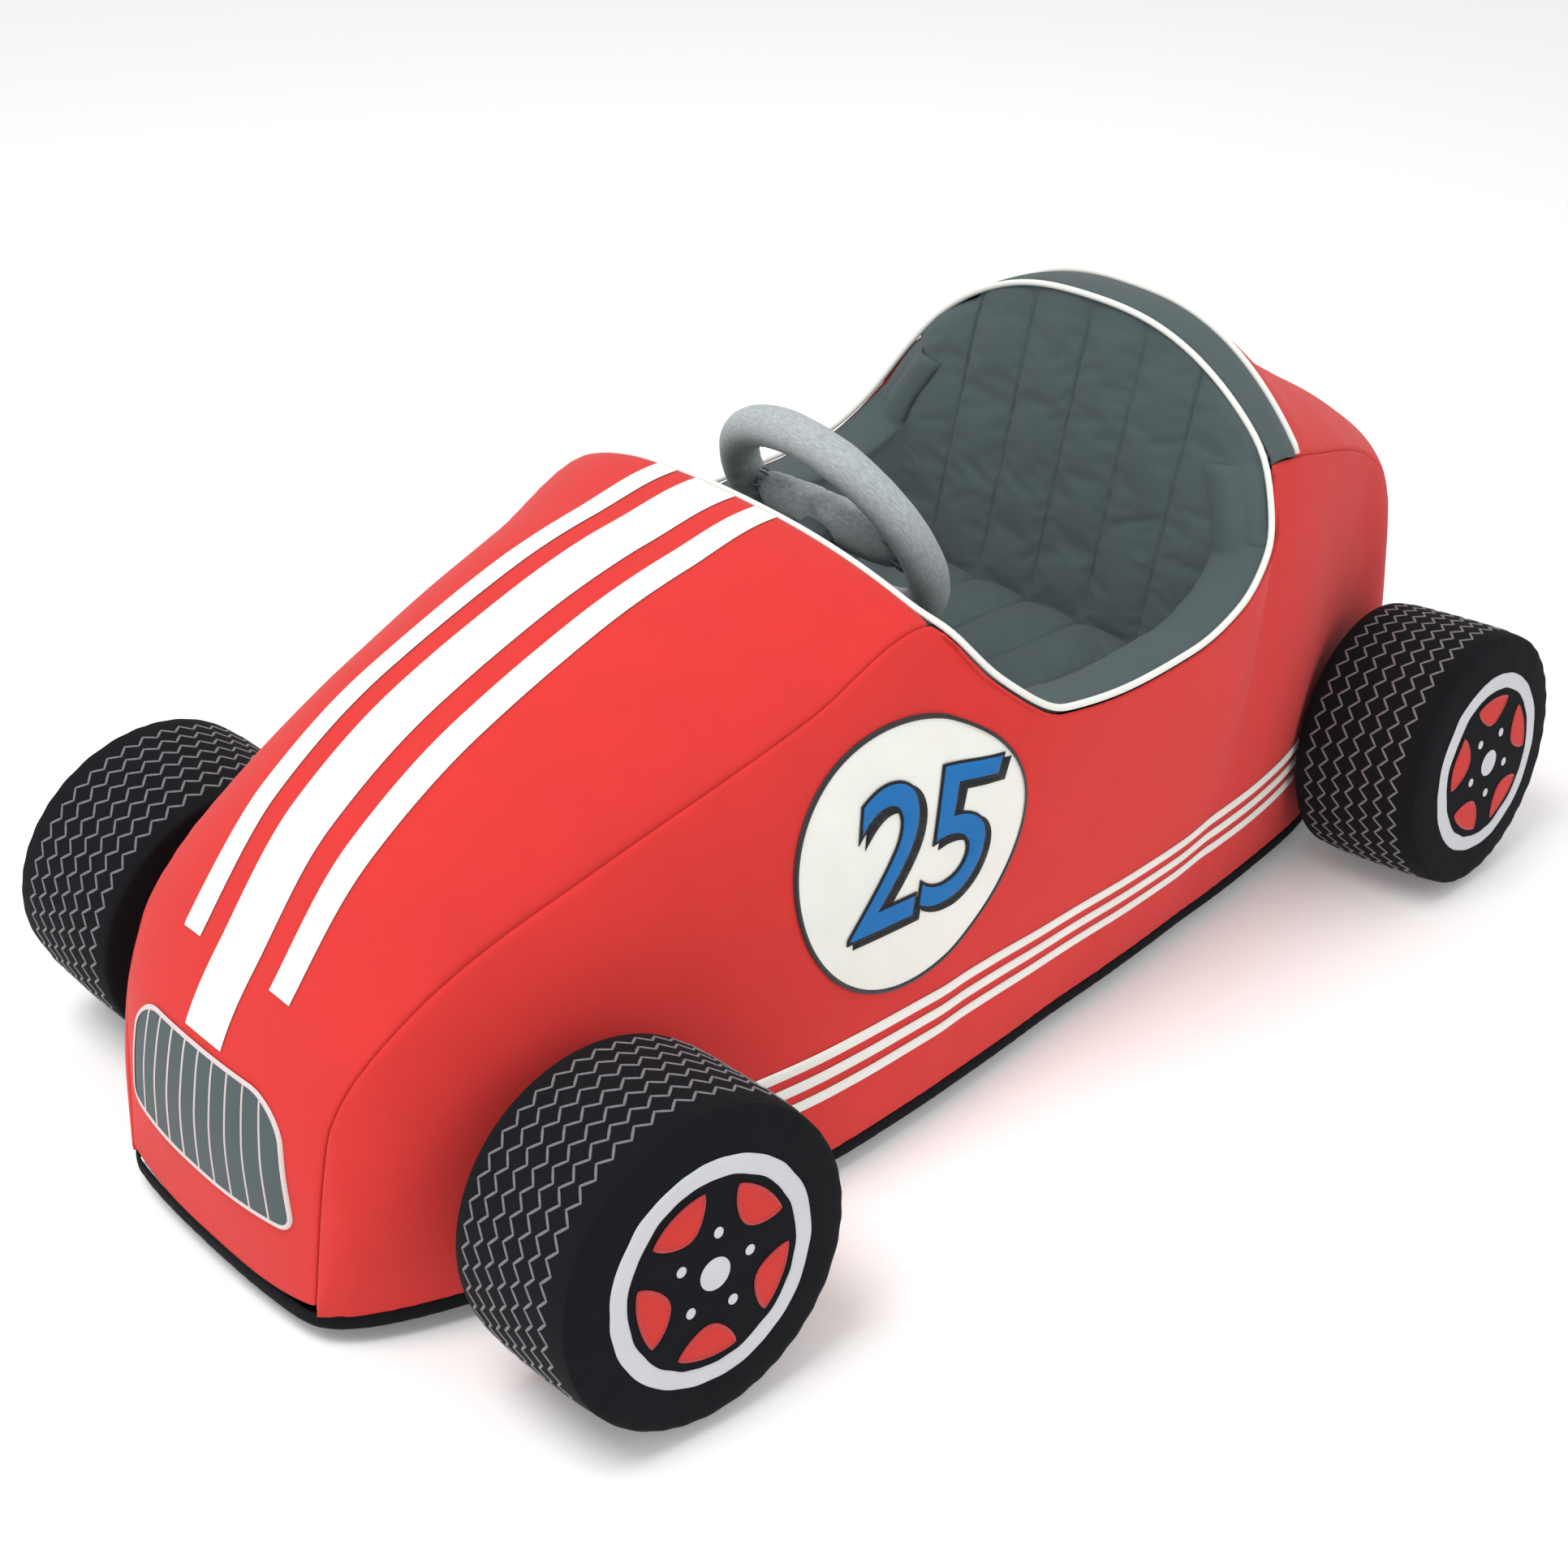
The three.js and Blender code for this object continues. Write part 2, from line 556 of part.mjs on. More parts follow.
// Appliques: the layer just off a cover, inside an upright outline.
function topLayer() {
  const list = between(STATIONS[0], COWL);
  return solid(slab(topGrid(-GAP - PATCH, list), topGrid(-GAP, list), true));
}
function hoodTrim() {
  const layer = topLayer();
  for (const { name, x, width, reach } of STRIPES) {
    const start = THREE.MathUtils.lerp(-NOSE_OVERHANG, COWL, reach);
    const area = block([x - width / 2, start, GRILLE.top + 10], [x + width / 2, COWL - 1, FAR]);
    add("hood_stripe_" + name, geometryOf(layer.intersect(solid(area))), "white");
  }
  const outline = new THREE.Shape();
  const { halfFoot, halfTop, foot, top } = GRILLE;
  outline.moveTo(-halfFoot + 10, foot);
  outline.lineTo(halfFoot - 10, foot);
  outline.quadraticCurveTo(halfFoot, foot, halfFoot, foot + 10);
  outline.lineTo(halfTop, top - 26);
  outline.quadraticCurveTo(halfTop, top, halfTop - 26, top);
  outline.lineTo(-halfTop + 26, top);
  outline.quadraticCurveTo(-halfTop, top, -halfTop, top - 26);
  outline.lineTo(-halfFoot, foot + 10);
  outline.quadraticCurveTo(-halfFoot, foot, -halfFoot + 10, foot);
  const prism = new THREE.ExtrudeGeometry(outline, { depth: 80, bevelEnabled: false, curveSegments: 4 });
  prism.rotateX(Math.PI / 2).translate(0, 55 - NOSE_OVERHANG, 0);
  add("grille_patch", geometryOf(layer.intersect(solid(prism))), "grey");
}

function sideTrim() {
  const [outer, inner] = [sideGrid(-GAP - PATCH), sideGrid(-GAP)];
  const layers = { left: slab(outer, inner), right: slab(mirrored(outer), mirrored(inner)) };
  const disc = new THREE.CylinderGeometry(ROUNDEL_RADIUS, ROUNDEL_RADIUS, 2 * FAR, 28);
  disc.rotateZ(Math.PI / 2).translate(0, ROUNDEL_Y, ROUNDEL_Z);
  for (const [side, layer] of Object.entries(layers)) {
    const skin = solid(layer);
    add("number_roundel_" + side, geometryOf(skin.intersect(solid(disc))), "white");
    ["upper", "middle", "lower"].forEach((name, k) => {
      const top = SIDE_STRIPE_TOP - k * SIDE_STRIPE_PITCH;
      const strip = block([-FAR, SIDE_STRIPE_FRONT, top - SIDE_STRIPE], [FAR, SIDE_STRIPE_REAR, top]);
      add("side_stripe_" + name + "_" + side, geometryOf(skin.intersect(solid(strip))), "white");
    });
  }
}

function steering() {
  const tilt = THREE.MathUtils.degToRad(STEERING_TILT);
  const axis = new THREE.Vector3(0, Math.cos(tilt), Math.sin(tilt));
  const wheel = new THREE.Group();
  wheel.position.set(0, STEERING_Y, STEERING_Z);
  wheel.rotation.x = tilt - Math.PI / 2;
  add("steering_ring", bare(new THREE.TorusGeometry(STEERING_RADIUS, STEERING_TUBE, 8, 32)), "marl", wheel);
  const [half, round] = [SPOKE_HEIGHT / 2, SPOKE_HEIGHT / 3];
  const end = Math.sqrt((STEERING_RADIUS - STEERING_TUBE - GAP) ** 2 - half * half);
  const outline = new THREE.Shape();
  outline.moveTo(-end, -half + round);
  outline.quadraticCurveTo(-end, -half, -end + round, -half);
  outline.lineTo(end - round, -half);
  outline.quadraticCurveTo(end, -half, end, -half + round);
  outline.lineTo(end, half - round);
  outline.quadraticCurveTo(end, half, end - round, half);
  outline.lineTo(-end + round, half);
  outline.quadraticCurveTo(-end, half, -end, half - round);
  const bar = new THREE.ExtrudeGeometry(outline, {
    depth: SPOKE_THICKNESS,
    bevelEnabled: false,
    curveSegments: 3,
  });
  add("steering_spoke", bar.translate(0, 0, -SPOKE_THICKNESS / 2), "marl", wheel);
  car.add(wheel);

  const reach = SPOKE_THICKNESS / 2 + GAP;
  const near = new THREE.Vector3(0, STEERING_Y, STEERING_Z).addScaledVector(axis, -reach);
  const dashFace = topPoint(COWL, 0).y + DASH_START + DASH;
  const stalk = new THREE.CylinderGeometry(STALK_RADIUS, STALK_RADIUS, FAR / 4, 14);
  stalk.translate(0, -FAR / 8, 0).rotateX(tilt).translate(near.x, near.y, near.z);
  const clear = solid(block([-FAR, dashFace + GAP, 0], [FAR, FAR, FAR]));
  add("steering_stalk", geometryOf(solid(stalk).subtract(solid(dashLiner(GAP))).intersect(clear)), "grey");
}
function bare(geometry) {
  geometry.deleteAttribute("normal");
  geometry.deleteAttribute("uv");
  return mergeVertices(geometry, 1e-3);
}

// A ring or disc turned about the wheel's axle, which is the group's own X.
function turned(profile) {
  const lathe = new THREE.LatheGeometry(profile.map(([r, x]) => new THREE.Vector2(r, x)), 20);
  lathe.rotateZ(-Math.PI / 2);
  return facingOut(bare(lathe));
}

function roadWheel(name, side, place, body) {
  const frame = new THREE.Group();
  const camber = THREE.MathUtils.degToRad(place.camber);
  const toe = THREE.MathUtils.degToRad(place.toe);
  frame.rotation.set(0, -camber, side > 0 ? -toe : toe + Math.PI, "ZYX");
  const wheel = new THREE.Group();
  wheel.position.x = -TYRE_WIDTH / 2;
  frame.add(wheel);
  car.add(frame);

  const half = TYRE_WIDTH / 2;
  const rim = TYRE_RADIUS - TREAD;
  const face = rim - GAP;
  const flat = half - FACE - GAP;
  add(name + "_core", turned([[0, -flat], [face, -flat], [face, flat], [0, flat]]), "foam", wheel);
  const crown = [[rim, -half], [TYRE_RADIUS, -half], [TYRE_RADIUS + TREAD_CROWN, 0], [TYRE_RADIUS, half]];
  add(name + "_tread_band", turned([...crown, [rim, half], [rim, -half]]), "black", wheel);
  const bulge = (r) => FACE_BULGE * (1 - (r / TYRE_RADIUS) ** 2);
  const outer = [face, RING_OUTER + 2, RING_INNER - 2, 0].map((r) => [r, half + bulge(r)]);
  add(name + "_outer_face", turned([[0, half - FACE], [face, half - FACE], ...outer]), "black", wheel);
  const inner = [[face, -half], [face * 0.5, -half - 3], [0, -half - 3]];
  add(name + "_inner_face", turned([[0, FACE - half], [face, FACE - half], ...inner]), "black", wheel);
  const under = (r) => THREE.MathUtils.mapLinear(
    r, RING_INNER - 2, RING_OUTER + 2, half + bulge(RING_INNER - 2), half + bulge(RING_OUTER + 2),
  );
  const on = (r, lift) => [r, under(r) + lift];
  const band = [
    on(RING_INNER, GAP), on(RING_OUTER, GAP), on(RING_OUTER, GAP + PATCH), on(RING_INNER, GAP + PATCH),
  ];
  add(name + "_rim_ring", turned([...band, band[0]]), "silver", wheel);

  frame.updateMatrixWorld(true);
  const lowest = new THREE.Box3().setFromObject(frame, true).min.z;
  frame.position.set(side * place.x, place.y, -lowest);
  frame.updateMatrixWorld(true);
  const seat = -half - 3 - GAP;
  const inboard = seat - MOUNT_REACH;
  const pad = turned([[0, inboard], [MOUNT_RADIUS, inboard], [MOUNT_RADIUS, seat], [0, seat]]);
  pad.applyMatrix4(wheel.matrixWorld);
  add(name + "_mount_pad", geometryOf(solid(pad).subtract(body)), "black");
}

function wheels() {
  const body = bodySolid(-2 * GAP, 0);
  roadWheel("front_left", 1, FRONT_WHEEL, body);
  roadWheel("front_right", -1, FRONT_WHEEL, body);
  roadWheel("rear_left", 1, REAR_WHEEL, body);
  roadWheel("rear_right", -1, REAR_WHEEL, body);
}

covers();
base();
interior();
piping();
hoodTrim();
sideTrim();
steering();
wheels();

// The origin goes under the middle of the whole car.
const whole = new THREE.Group();
whole.add(car);
whole.updateMatrixWorld(true);
car.position.y = -new THREE.Box3().setFromObject(whole, true).getCenter(new THREE.Vector3()).y;

export default whole;
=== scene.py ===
import math
import bpy
import bmesh
from mathutils import Matrix, Vector, noise


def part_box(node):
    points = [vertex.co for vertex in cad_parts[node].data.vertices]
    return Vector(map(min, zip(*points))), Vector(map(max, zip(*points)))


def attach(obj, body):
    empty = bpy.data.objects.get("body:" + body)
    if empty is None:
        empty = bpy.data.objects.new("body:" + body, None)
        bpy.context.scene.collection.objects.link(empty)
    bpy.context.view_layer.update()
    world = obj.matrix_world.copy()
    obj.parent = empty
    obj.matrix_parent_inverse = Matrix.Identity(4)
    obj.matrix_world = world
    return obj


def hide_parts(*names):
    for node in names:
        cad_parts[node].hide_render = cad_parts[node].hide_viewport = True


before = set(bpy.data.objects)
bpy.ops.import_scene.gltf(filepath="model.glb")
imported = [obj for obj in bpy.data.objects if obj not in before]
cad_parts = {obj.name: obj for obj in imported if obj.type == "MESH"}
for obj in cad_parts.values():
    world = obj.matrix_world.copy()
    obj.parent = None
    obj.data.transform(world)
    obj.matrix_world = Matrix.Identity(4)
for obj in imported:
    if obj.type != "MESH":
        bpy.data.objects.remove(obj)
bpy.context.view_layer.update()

# Camera, room and lamps: a plain pale room with a broad soft lamp over the nose and a weaker one behind,
# and a lens that stands a little over a metre and a half off, above the left headlamp corner.
azimuth, elevation, roll = (math.radians(a) for a in (46.624, 29.255, 1.392))
level = math.cos(elevation)
back = Vector((math.sin(azimuth) * level, -math.cos(azimuth) * level, math.sin(elevation)))
right = Vector((math.cos(azimuth), math.sin(azimuth), 0))
up = back.cross(right)
turned_right = math.cos(roll) * right + math.sin(roll) * up
turned_up = math.cos(roll) * up - math.sin(roll) * right
camera = bpy.data.objects.new("camera", bpy.data.cameras.new("camera"))
camera.data.lens, camera.data.sensor_width = 57.19, 36
camera.matrix_world = Matrix((turned_right, turned_up, back)).transposed().to_4x4()
camera.location = (1.1016, -1.12426, 1.0237)
bpy.context.scene.collection.objects.link(camera)
bpy.context.scene.camera = camera
bpy.context.scene.view_settings.view_transform = "Standard"


def lamp(name, place, size, power):
    light = bpy.data.objects.new(name, bpy.data.lights.new(name, "AREA"))
    light.data.shape, light.data.size, light.data.energy = "DISK", size, power
    light.location = place
    light.rotation_euler = Vector(place).to_track_quat("Z", "Y").to_euler()
    bpy.context.scene.collection.objects.link(light)


lamp("key_lamp", (0.1, -1.5, 2.9), 1.6, 54)
lamp("side_lamp", (2.4, 0.2, 1.6), 1.6, 5.5)
lamp("back_lamp", (-1.6, 1.8, 1.9), 1.4, 3.5)
world = bpy.data.worlds.new("pale_room")
world.use_nodes = True
world.node_tree.nodes["Background"].inputs["Color"].default_value = (1, 1, 1, 1)
world.node_tree.nodes["Background"].inputs["Strength"].default_value = 0.7
bpy.context.scene.world = world


def linear(code):
    parts = [int(code[i : i + 2], 16) / 255 for i in (1, 3, 5)]
    return tuple(c / 12.92 if c <= 0.04045 else ((c + 0.055) / 1.055) ** 2.4 for c in parts) + (1,)


def node(tree, kind, links=None, **settings):
    made = tree.nodes.new(kind)
    for key, value in settings.items():
        if hasattr(made, key):
            setattr(made, key, value)
        else:
            made.inputs[key.replace("_", " ")].default_value = value
    for key, source in (links or {}).items():
        tree.links.new(source, made.inputs[key])
    return made


floor_mesh = bmesh.new()
bmesh.ops.create_grid(floor_mesh, x_segments=1, y_segments=1, size=40)
floor_data = bpy.data.meshes.new("floor")
floor_mesh.to_mesh(floor_data)
room_floor = bpy.data.objects.new("floor", floor_data)
bpy.context.scene.collection.objects.link(room_floor)
paint = bpy.data.materials.new("matt_white_floor_paint")
paint.use_nodes = True
paint.node_tree.nodes["Principled BSDF"].inputs["Base Color"].default_value = (0.98, 0.98, 0.98, 1)
paint.node_tree.nodes["Principled BSDF"].inputs["Emission Color"].default_value = (1, 1, 1, 1)
paint.node_tree.nodes["Principled BSDF"].inputs["Emission Strength"].default_value = 0.12
paint.node_tree.nodes["Principled BSDF"].inputs["Roughness"].default_value = 0.9
floor_data.materials.append(paint)

# The body's covers: red cotton twill over a thin wadding, cut as one panel for nose and hood, one for each
# side and one for the tail, sewn edge to edge and pulled tight over foam blocks.
# The lines are those that the patterns are cut to, in millimetres from the front axle: the half width of a
# side at its foot, middle and top, the height of its top edge, and the place and height of the middle of
# the panel above it.
NOSE, COWL, ARCH, BAND_REAR, TAIL = -134, 289, 625, 660, 952
HALF, TALL, FOOT = 215, 458, 22.4
CROWN = 2.5
COVER = 2.6
sections = [
    (NOSE, COWL, [
        (0.0, 0.488, 0.493, 0.488, 0.066, 6, 0.049), (0.022, 0.526, 0.548, 0.507, 0.262, 16, 0.262),
        (0.038, 0.553, 0.577, 0.512, 0.336, 15, 0.349), (0.104, 0.619, 0.647, 0.558, 0.434, 8, 0.476),
        (0.246, 0.707, 0.744, 0.6, 0.522, 15, 0.62), (0.435, 0.79, 0.823, 0.656, 0.594, 12, 0.74),
        (0.79, 0.884, 0.893, 0.753, 0.718, 7, 0.86), (1.0, 0.865, 0.902, 0.795, 0.801, 22, 0.886)]),
    (COWL, ARCH, [
        (0.1, 0.851, 0.907, 0.926, 0.716, 0, 0.716), (0.25, 0.828, 0.907, 0.995, 0.644, 0, 0.644),
        (0.43, 0.795, 0.898, 1.0, 0.633, 0, 0.633), (0.625, 0.767, 0.888, 0.995, 0.642, 0, 0.642),
        (0.807, 0.735, 0.865, 0.958, 0.668, 0, 0.668), (0.943, 0.707, 0.828, 0.898, 0.742, 0, 0.742)]),
    (ARCH, BAND_REAR, [(0.0, 0.698, 0.809, 0.791, 0.836, 0, 1), (1.0, 0.679, 0.781, 0.763, 0.825, 0, 1)]),
    (BAND_REAR, TAIL, [
        (0.178, 0.642, 0.716, 0.698, 0.793, -4, 0.911), (0.384, 0.591, 0.605, 0.605, 0.751, -10, 0.828),
        (0.651, 0.48, 0.49, 0.46, 0.675, -16, 0.729), (0.822, 0.42, 0.44, 0.4, 0.595, -25, 0.635),
        (0.942, 0.355, 0.36, 0.33, 0.452, -28, 0.49), (0.986, 0.31, 0.31, 0.29, 0.262, -27, 0.284),
        (1.0, 0.25, 0.25, 0.25, 0.066, -20, 0.049)]),
]
KEYS = ("y", "foot", "middle", "top", "edge", "ahead", "centre")
UNITS = (1, HALF, HALF, HALF, TALL, 1, TALL)
rows = [
    dict(zip(KEYS, (value * unit for value, unit in zip((a + row[0] * (b - a), *row[1:]), UNITS))))
    for a, b, lines in sections
    for row in lines
]


def line(key, y):
    last = len(rows) - 1
    k = max(0, min(last - 1, sum(row["y"] <= y for row in rows) - 1))

    def slope(i):
        return (rows[i + 1][key] - rows[i][key]) / (rows[i + 1]["y"] - rows[i]["y"])

    def tangent(i):
        if i in (0, last):
            return slope(0 if i == 0 else last - 1)
        before, after = slope(i - 1), slope(i)
        return 0 if before * after <= 0 else 2 * before * after / (before + after)

    a, b = rows[k], rows[k + 1]
    h = b["y"] - a["y"]
    t = min(1, max(0, (y - a["y"]) / h))
    return (a[key] * (2 * t**3 - 3 * t * t + 1) + tangent(k) * h * (t**3 - 2 * t * t + t)
            + b[key] * (3 * t * t - 2 * t**3) + tangent(k + 1) * h * (t**3 - t * t))


def inward(y):
    dz = line("edge", y + 2) - line("edge", y - 2)
    dy = min(y + 2, TAIL) - max(y - 2, NOSE)
    return Vector((0, dz, -dy)) / math.hypot(dy, dz)


# Cloth is never quite flat: it dips into its seams, puckers a little beside them and swells between them.
def drape(p, from_seam, swell=1.2):
    ripple = math.sin(p.y / 2.3 + 3 * noise.noise(p / 30)) * 0.16 * math.exp(-from_seam / 9)
    return (swell * (1 - math.exp(-from_seam / 22)) - 1.9 * math.exp(-from_seam / 1.2)
            + ripple + 0.5 * noise.noise(p / 55))


def side(y, share, lift=0.0):
    foot, middle, top = (line(key, y) for key in ("foot", "middle", "top"))
    width = (foot * (1 - share) * (1 - 2 * share) + 4 * middle * share * (1 - share)
             + top * share * (2 * share - 1))
    into = inward(y)
    edge = line("edge", y)
    p = Vector((width, y, FOOT + (edge - FOOT) * share))
    rise = lift + drape(p, min(edge - p.z, p.z - FOOT + 4))
    return Vector((width + rise, y - into.y * rise * share, p.z - into.z * rise * share))


def top(y, across, lift=0.0):
    into = inward(y)
    fall = abs(across) ** CROWN
    width = line("top", y)
    p = Vector((across * width, y - line("ahead", y) * (1 - fall),
                line("centre", y) + (line("edge", y) - line("centre", y)) * fall))
    rise = lift + drape(p, (1 - abs(across)) * width)
    return p + Vector((across * rise, -into.y * rise, -into.z * rise))


# Millimetres from the front axle become the car's own place, which the steering wheel's centre gives.
ring_low, ring_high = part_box("steering_ring")
AXLE = (ring_low.y + ring_high.y) / 2 - 0.372


def placed(p):
    return Vector((p.x / 1000, p.y / 1000 + AXLE, p.z / 1000))


def panel(name, columns, steps, at, out, depth=0.0, mesh=None):
    """A cloth panel: a grid bent to its place, its face towards out, with the cloth's depth behind it."""
    bm = mesh or bmesh.new()
    layer = bm.loops.layers.uv.verify()
    made = bmesh.ops.create_grid(bm, x_segments=columns, y_segments=steps, size=0.5)["verts"]
    spot = {v: (v.co.x + 0.5, v.co.y + 0.5) for v in made}
    for v in made:
        v.co = at(*spot[v])
    faces = {f for v in made for f in v.link_faces}
    for f in faces:
        for loop in f.loops:
            loop[layer].uv = spot[loop.vert]
    bm.normal_update()
    if sum(f.normal.dot(out if isinstance(out, Vector) else out(f.calc_center_median())) for f in faces) < 0:
        bmesh.ops.reverse_faces(bm, faces=list(faces))
    if mesh is not None:
        return None
    return piece(name, bm, depth)


def piece(name, bm, depth=0.0):
    bmesh.ops.remove_doubles(bm, verts=bm.verts, dist=2e-6)
    data = bpy.data.meshes.new(name)
    bm.to_mesh(data)
    bm.free()
    for face in data.polygons:
        face.use_smooth = True
    made = bpy.data.objects.new(name, data)
    bpy.context.scene.collection.objects.link(made)
    if depth:
        wall = made.modifiers.new("cloth", "SOLIDIFY")
        wall.thickness, wall.offset = depth / 1000, -1
    return made


def fitted(made, cloth, slot, *nodes, body="car"):
    made.data.materials.append(cloth)
    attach(made, body)
    if nodes:
        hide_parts(*nodes)
    return made


# Cotton twill: dull, with a diagonal rib and a faint unevenness of dye. A real rib is half a millimetre
# wide; it is drawn at one and a half so that it shows at all.
def twill(name, code, rough=0.92, rib=0.0016, bump=0.3, mottle=0.06, fuzz=0.06, shine=0.5):
    made = bpy.data.materials.new(name)
    made.use_nodes = True
    tree = made.node_tree
    shader = tree.nodes["Principled BSDF"]
    place = node(tree, "ShaderNodeTexCoord")
    rib_wave = node(tree, "ShaderNodeTexWave", {"Vector": place.outputs["Object"]}, wave_type="BANDS",
                    bands_direction="DIAGONAL", Scale=0.363 / rib, Distortion=1.2, Detail=2.0)
    yarn = node(tree, "ShaderNodeTexNoise", {"Vector": place.outputs["Object"]}, Scale=900.0, Detail=3.0)
    dye = node(tree, "ShaderNodeTexNoise", {"Vector": place.outputs["Object"]}, Scale=26.0, Detail=4.0)
    both = node(tree, "ShaderNodeMix", {2: rib_wave.outputs["Fac"], 3: yarn.outputs["Fac"]}, Factor=0.45)
    shade = node(tree, "ShaderNodeMapRange", {"Value": both.outputs[0]}, To_Min=1 - mottle, To_Max=1 + mottle)
    uneven = node(tree, "ShaderNodeMapRange", {"Value": dye.outputs["Fac"]}, To_Min=0.93, To_Max=1.07)
    depth = node(tree, "ShaderNodeMath", {0: shade.outputs[0], 1: uneven.outputs[0]}, operation="MULTIPLY")
    tint = node(tree, "ShaderNodeVectorMath", {1: depth.outputs[0]}, operation="MULTIPLY")
    tint.inputs[0].default_value = linear(code)[:3]
    tree.links.new(tint.outputs[0], shader.inputs["Base Color"])
    raised = node(tree, "ShaderNodeBump", {"Height": both.outputs[0]}, Strength=bump, Distance=0.0005)
    tree.links.new(raised.outputs[0], shader.inputs["Normal"])
    shader.inputs["Roughness"].default_value = rough
    shader.inputs["Sheen Weight"].default_value = fuzz
    shader.inputs["Specular IOR Level"].default_value = shine
    shader.inputs["Sheen Roughness"].default_value = 0.5
    return made


red_twill = twill("red_cotton_twill", "#D42E2A")


def seam_to_seam(u):
    """Across a panel from one seam to the other, with the mesh drawn in towards both."""
    return math.sin(math.pi * (u - 0.5))


hood = panel("hood_cover", 90, 150,
             lambda u, v: placed(top(NOSE + (COWL - NOSE) * v**1.5, seam_to_seam(u))),
             Vector((0, -0.5, 1)), COVER)
fitted(hood, red_twill, "red_twill", "hood_cover", "hood_foam")
tail = panel("tail_cover", 70, 110,
             lambda u, v: placed(top(TAIL - (TAIL - BAND_REAR - 1) * v**1.4, seam_to_seam(u))),
             Vector((0, 1, 1)), COVER)
fitted(tail, red_twill, "red_twill", "tail_cover", "tail_foam")


def along(v):
    """Along the side from nose to tail, with the mesh drawn in towards both ends."""
    return NOSE + (TAIL - NOSE) * (0.5 - 0.5 * math.cos(math.pi * v))


def mirrored(p, sign):
    return Vector((p.x * sign, p.y, p.z))


for word, sign in (("left", 1), ("right", -1)):
    cover = panel("side_cover_" + word, 44, 260,
                  lambda u, v: placed(mirrored(side(along(v), 0.5 + 0.5 * seam_to_seam(u)), sign)),
                  Vector((sign, 0, 0)), COVER)
    fitted(cover, red_twill, "red_twill", "side_cover_" + word, "side_foam_" + word)

# The binding: a black twill strip folded over the raw foot of the covers and stitched all the way round,
# and the black underside sewn inside it.
black_twill = twill("black_cotton_twill", "#15171A", rough=0.95, mottle=0.2, fuzz=0.015, shine=0.1)


def foot_line(t):
    """A point and the outward direction on the foot's outline, from the nose round by the left side."""
    ends = (line("top", NOSE), line("top", TAIL))
    lengths = (ends[0], TAIL - NOSE, ends[1])
    s = abs(1 - 2 * t) * sum(lengths)
    sign = 1 if t < 0.5 else -1
    s = sum(lengths) - s
    if s < lengths[0]:
        p = top(NOSE, s / lengths[0] * 0.999)
        p = Vector((p.x, p.y, 0))
        out = Vector((0, -1, 0))
    elif s < lengths[0] + lengths[1]:
        y = NOSE + s - lengths[0]
        step = 2
        a, b = line("foot", max(y - step, NOSE)), line("foot", min(y + step, TAIL))
        p = Vector((line("foot", y), y, 0))
        out = Vector((2 * step, a - b, 0)).normalized()
    else:
        share = 1 - (s - lengths[0] - lengths[1]) / lengths[2]
        p = top(TAIL, share * 0.999)
        p = Vector((p.x, p.y, 0))
        out = Vector((0, 1, 0))
    return mirrored(p, sign), mirrored(out, sign)


def binding_at(u, v):
    near = [foot_line((v + step * 0.0014) % 1) for step in range(-3, 4)]
    p = sum((spot for spot, _ in near), Vector()) / 7
    out = sum((heading for _, heading in near), Vector()).normalized()
    swell = 0.4 + 1.0 * math.sin(math.pi * u) ** 0.5 + 0.25 * noise.noise(p / 6)
    return placed(p + out * swell + Vector((0, 0, 13 + 10.4 * u)))


binding = panel("base_binding", 6, 900, binding_at,
                lambda c: Vector((c.x, c.y, 0)), 1.2)
fitted(binding, black_twill, "black_twill", "base_binding")
for name in ("base_cover", "front_left_mount_pad", "front_right_mount_pad",
             "rear_left_mount_pad", "rear_right_mount_pad"):
    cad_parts[name].data.materials.clear()
    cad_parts[name].data.materials.append(black_twill)
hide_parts("floor_foam")

# The hood's stripes: three strips of off-white twill with their edges turned under, sewn flat to the hood
# from the cowl down on to the nose.
white_twill = twill("off_white_cotton_twill", "#EFEFE8", mottle=0.03, fuzz=0.08)


def hood_at(x, y, lift):
    return placed(top(y, x / line("top", y), lift))


def turned_edge(u, width, lift=1.3):
    return lift * (1 - math.exp(-min(u, 1 - u) * width / 0.8))


for word, x, width, start in (("left", 46.5, 19, -97), ("centre", 0, 38, -116), ("right", -46.5, 19, -97)):
    stripe = panel("hood_stripe_" + word, 16, 220,
                   lambda u, v: hood_at(x + (u - 0.5) * width, start + (COWL - 0.5 - start) * v,
                                        0.7 + min(turned_edge(u, width), turned_edge(v, 400))),
                   Vector((0, -0.4, 1)))
    fitted(stripe, white_twill, "white_twill", "hood_stripe_" + word)
    spots = [hood_at(x, start + (COWL - start) * i / 60, 0) for i in range(61)]
    length = sum((b - a).length for a, b in zip(spots, spots[1:]))

# The grille: a slate-grey twill patch on the nose, bordered in pale pink satin stitch, with nine thin
# upright lines of the same stitch for its bars.
grey_twill = twill("slate_grey_cotton_twill", "#4A5759", mottle=0.08)


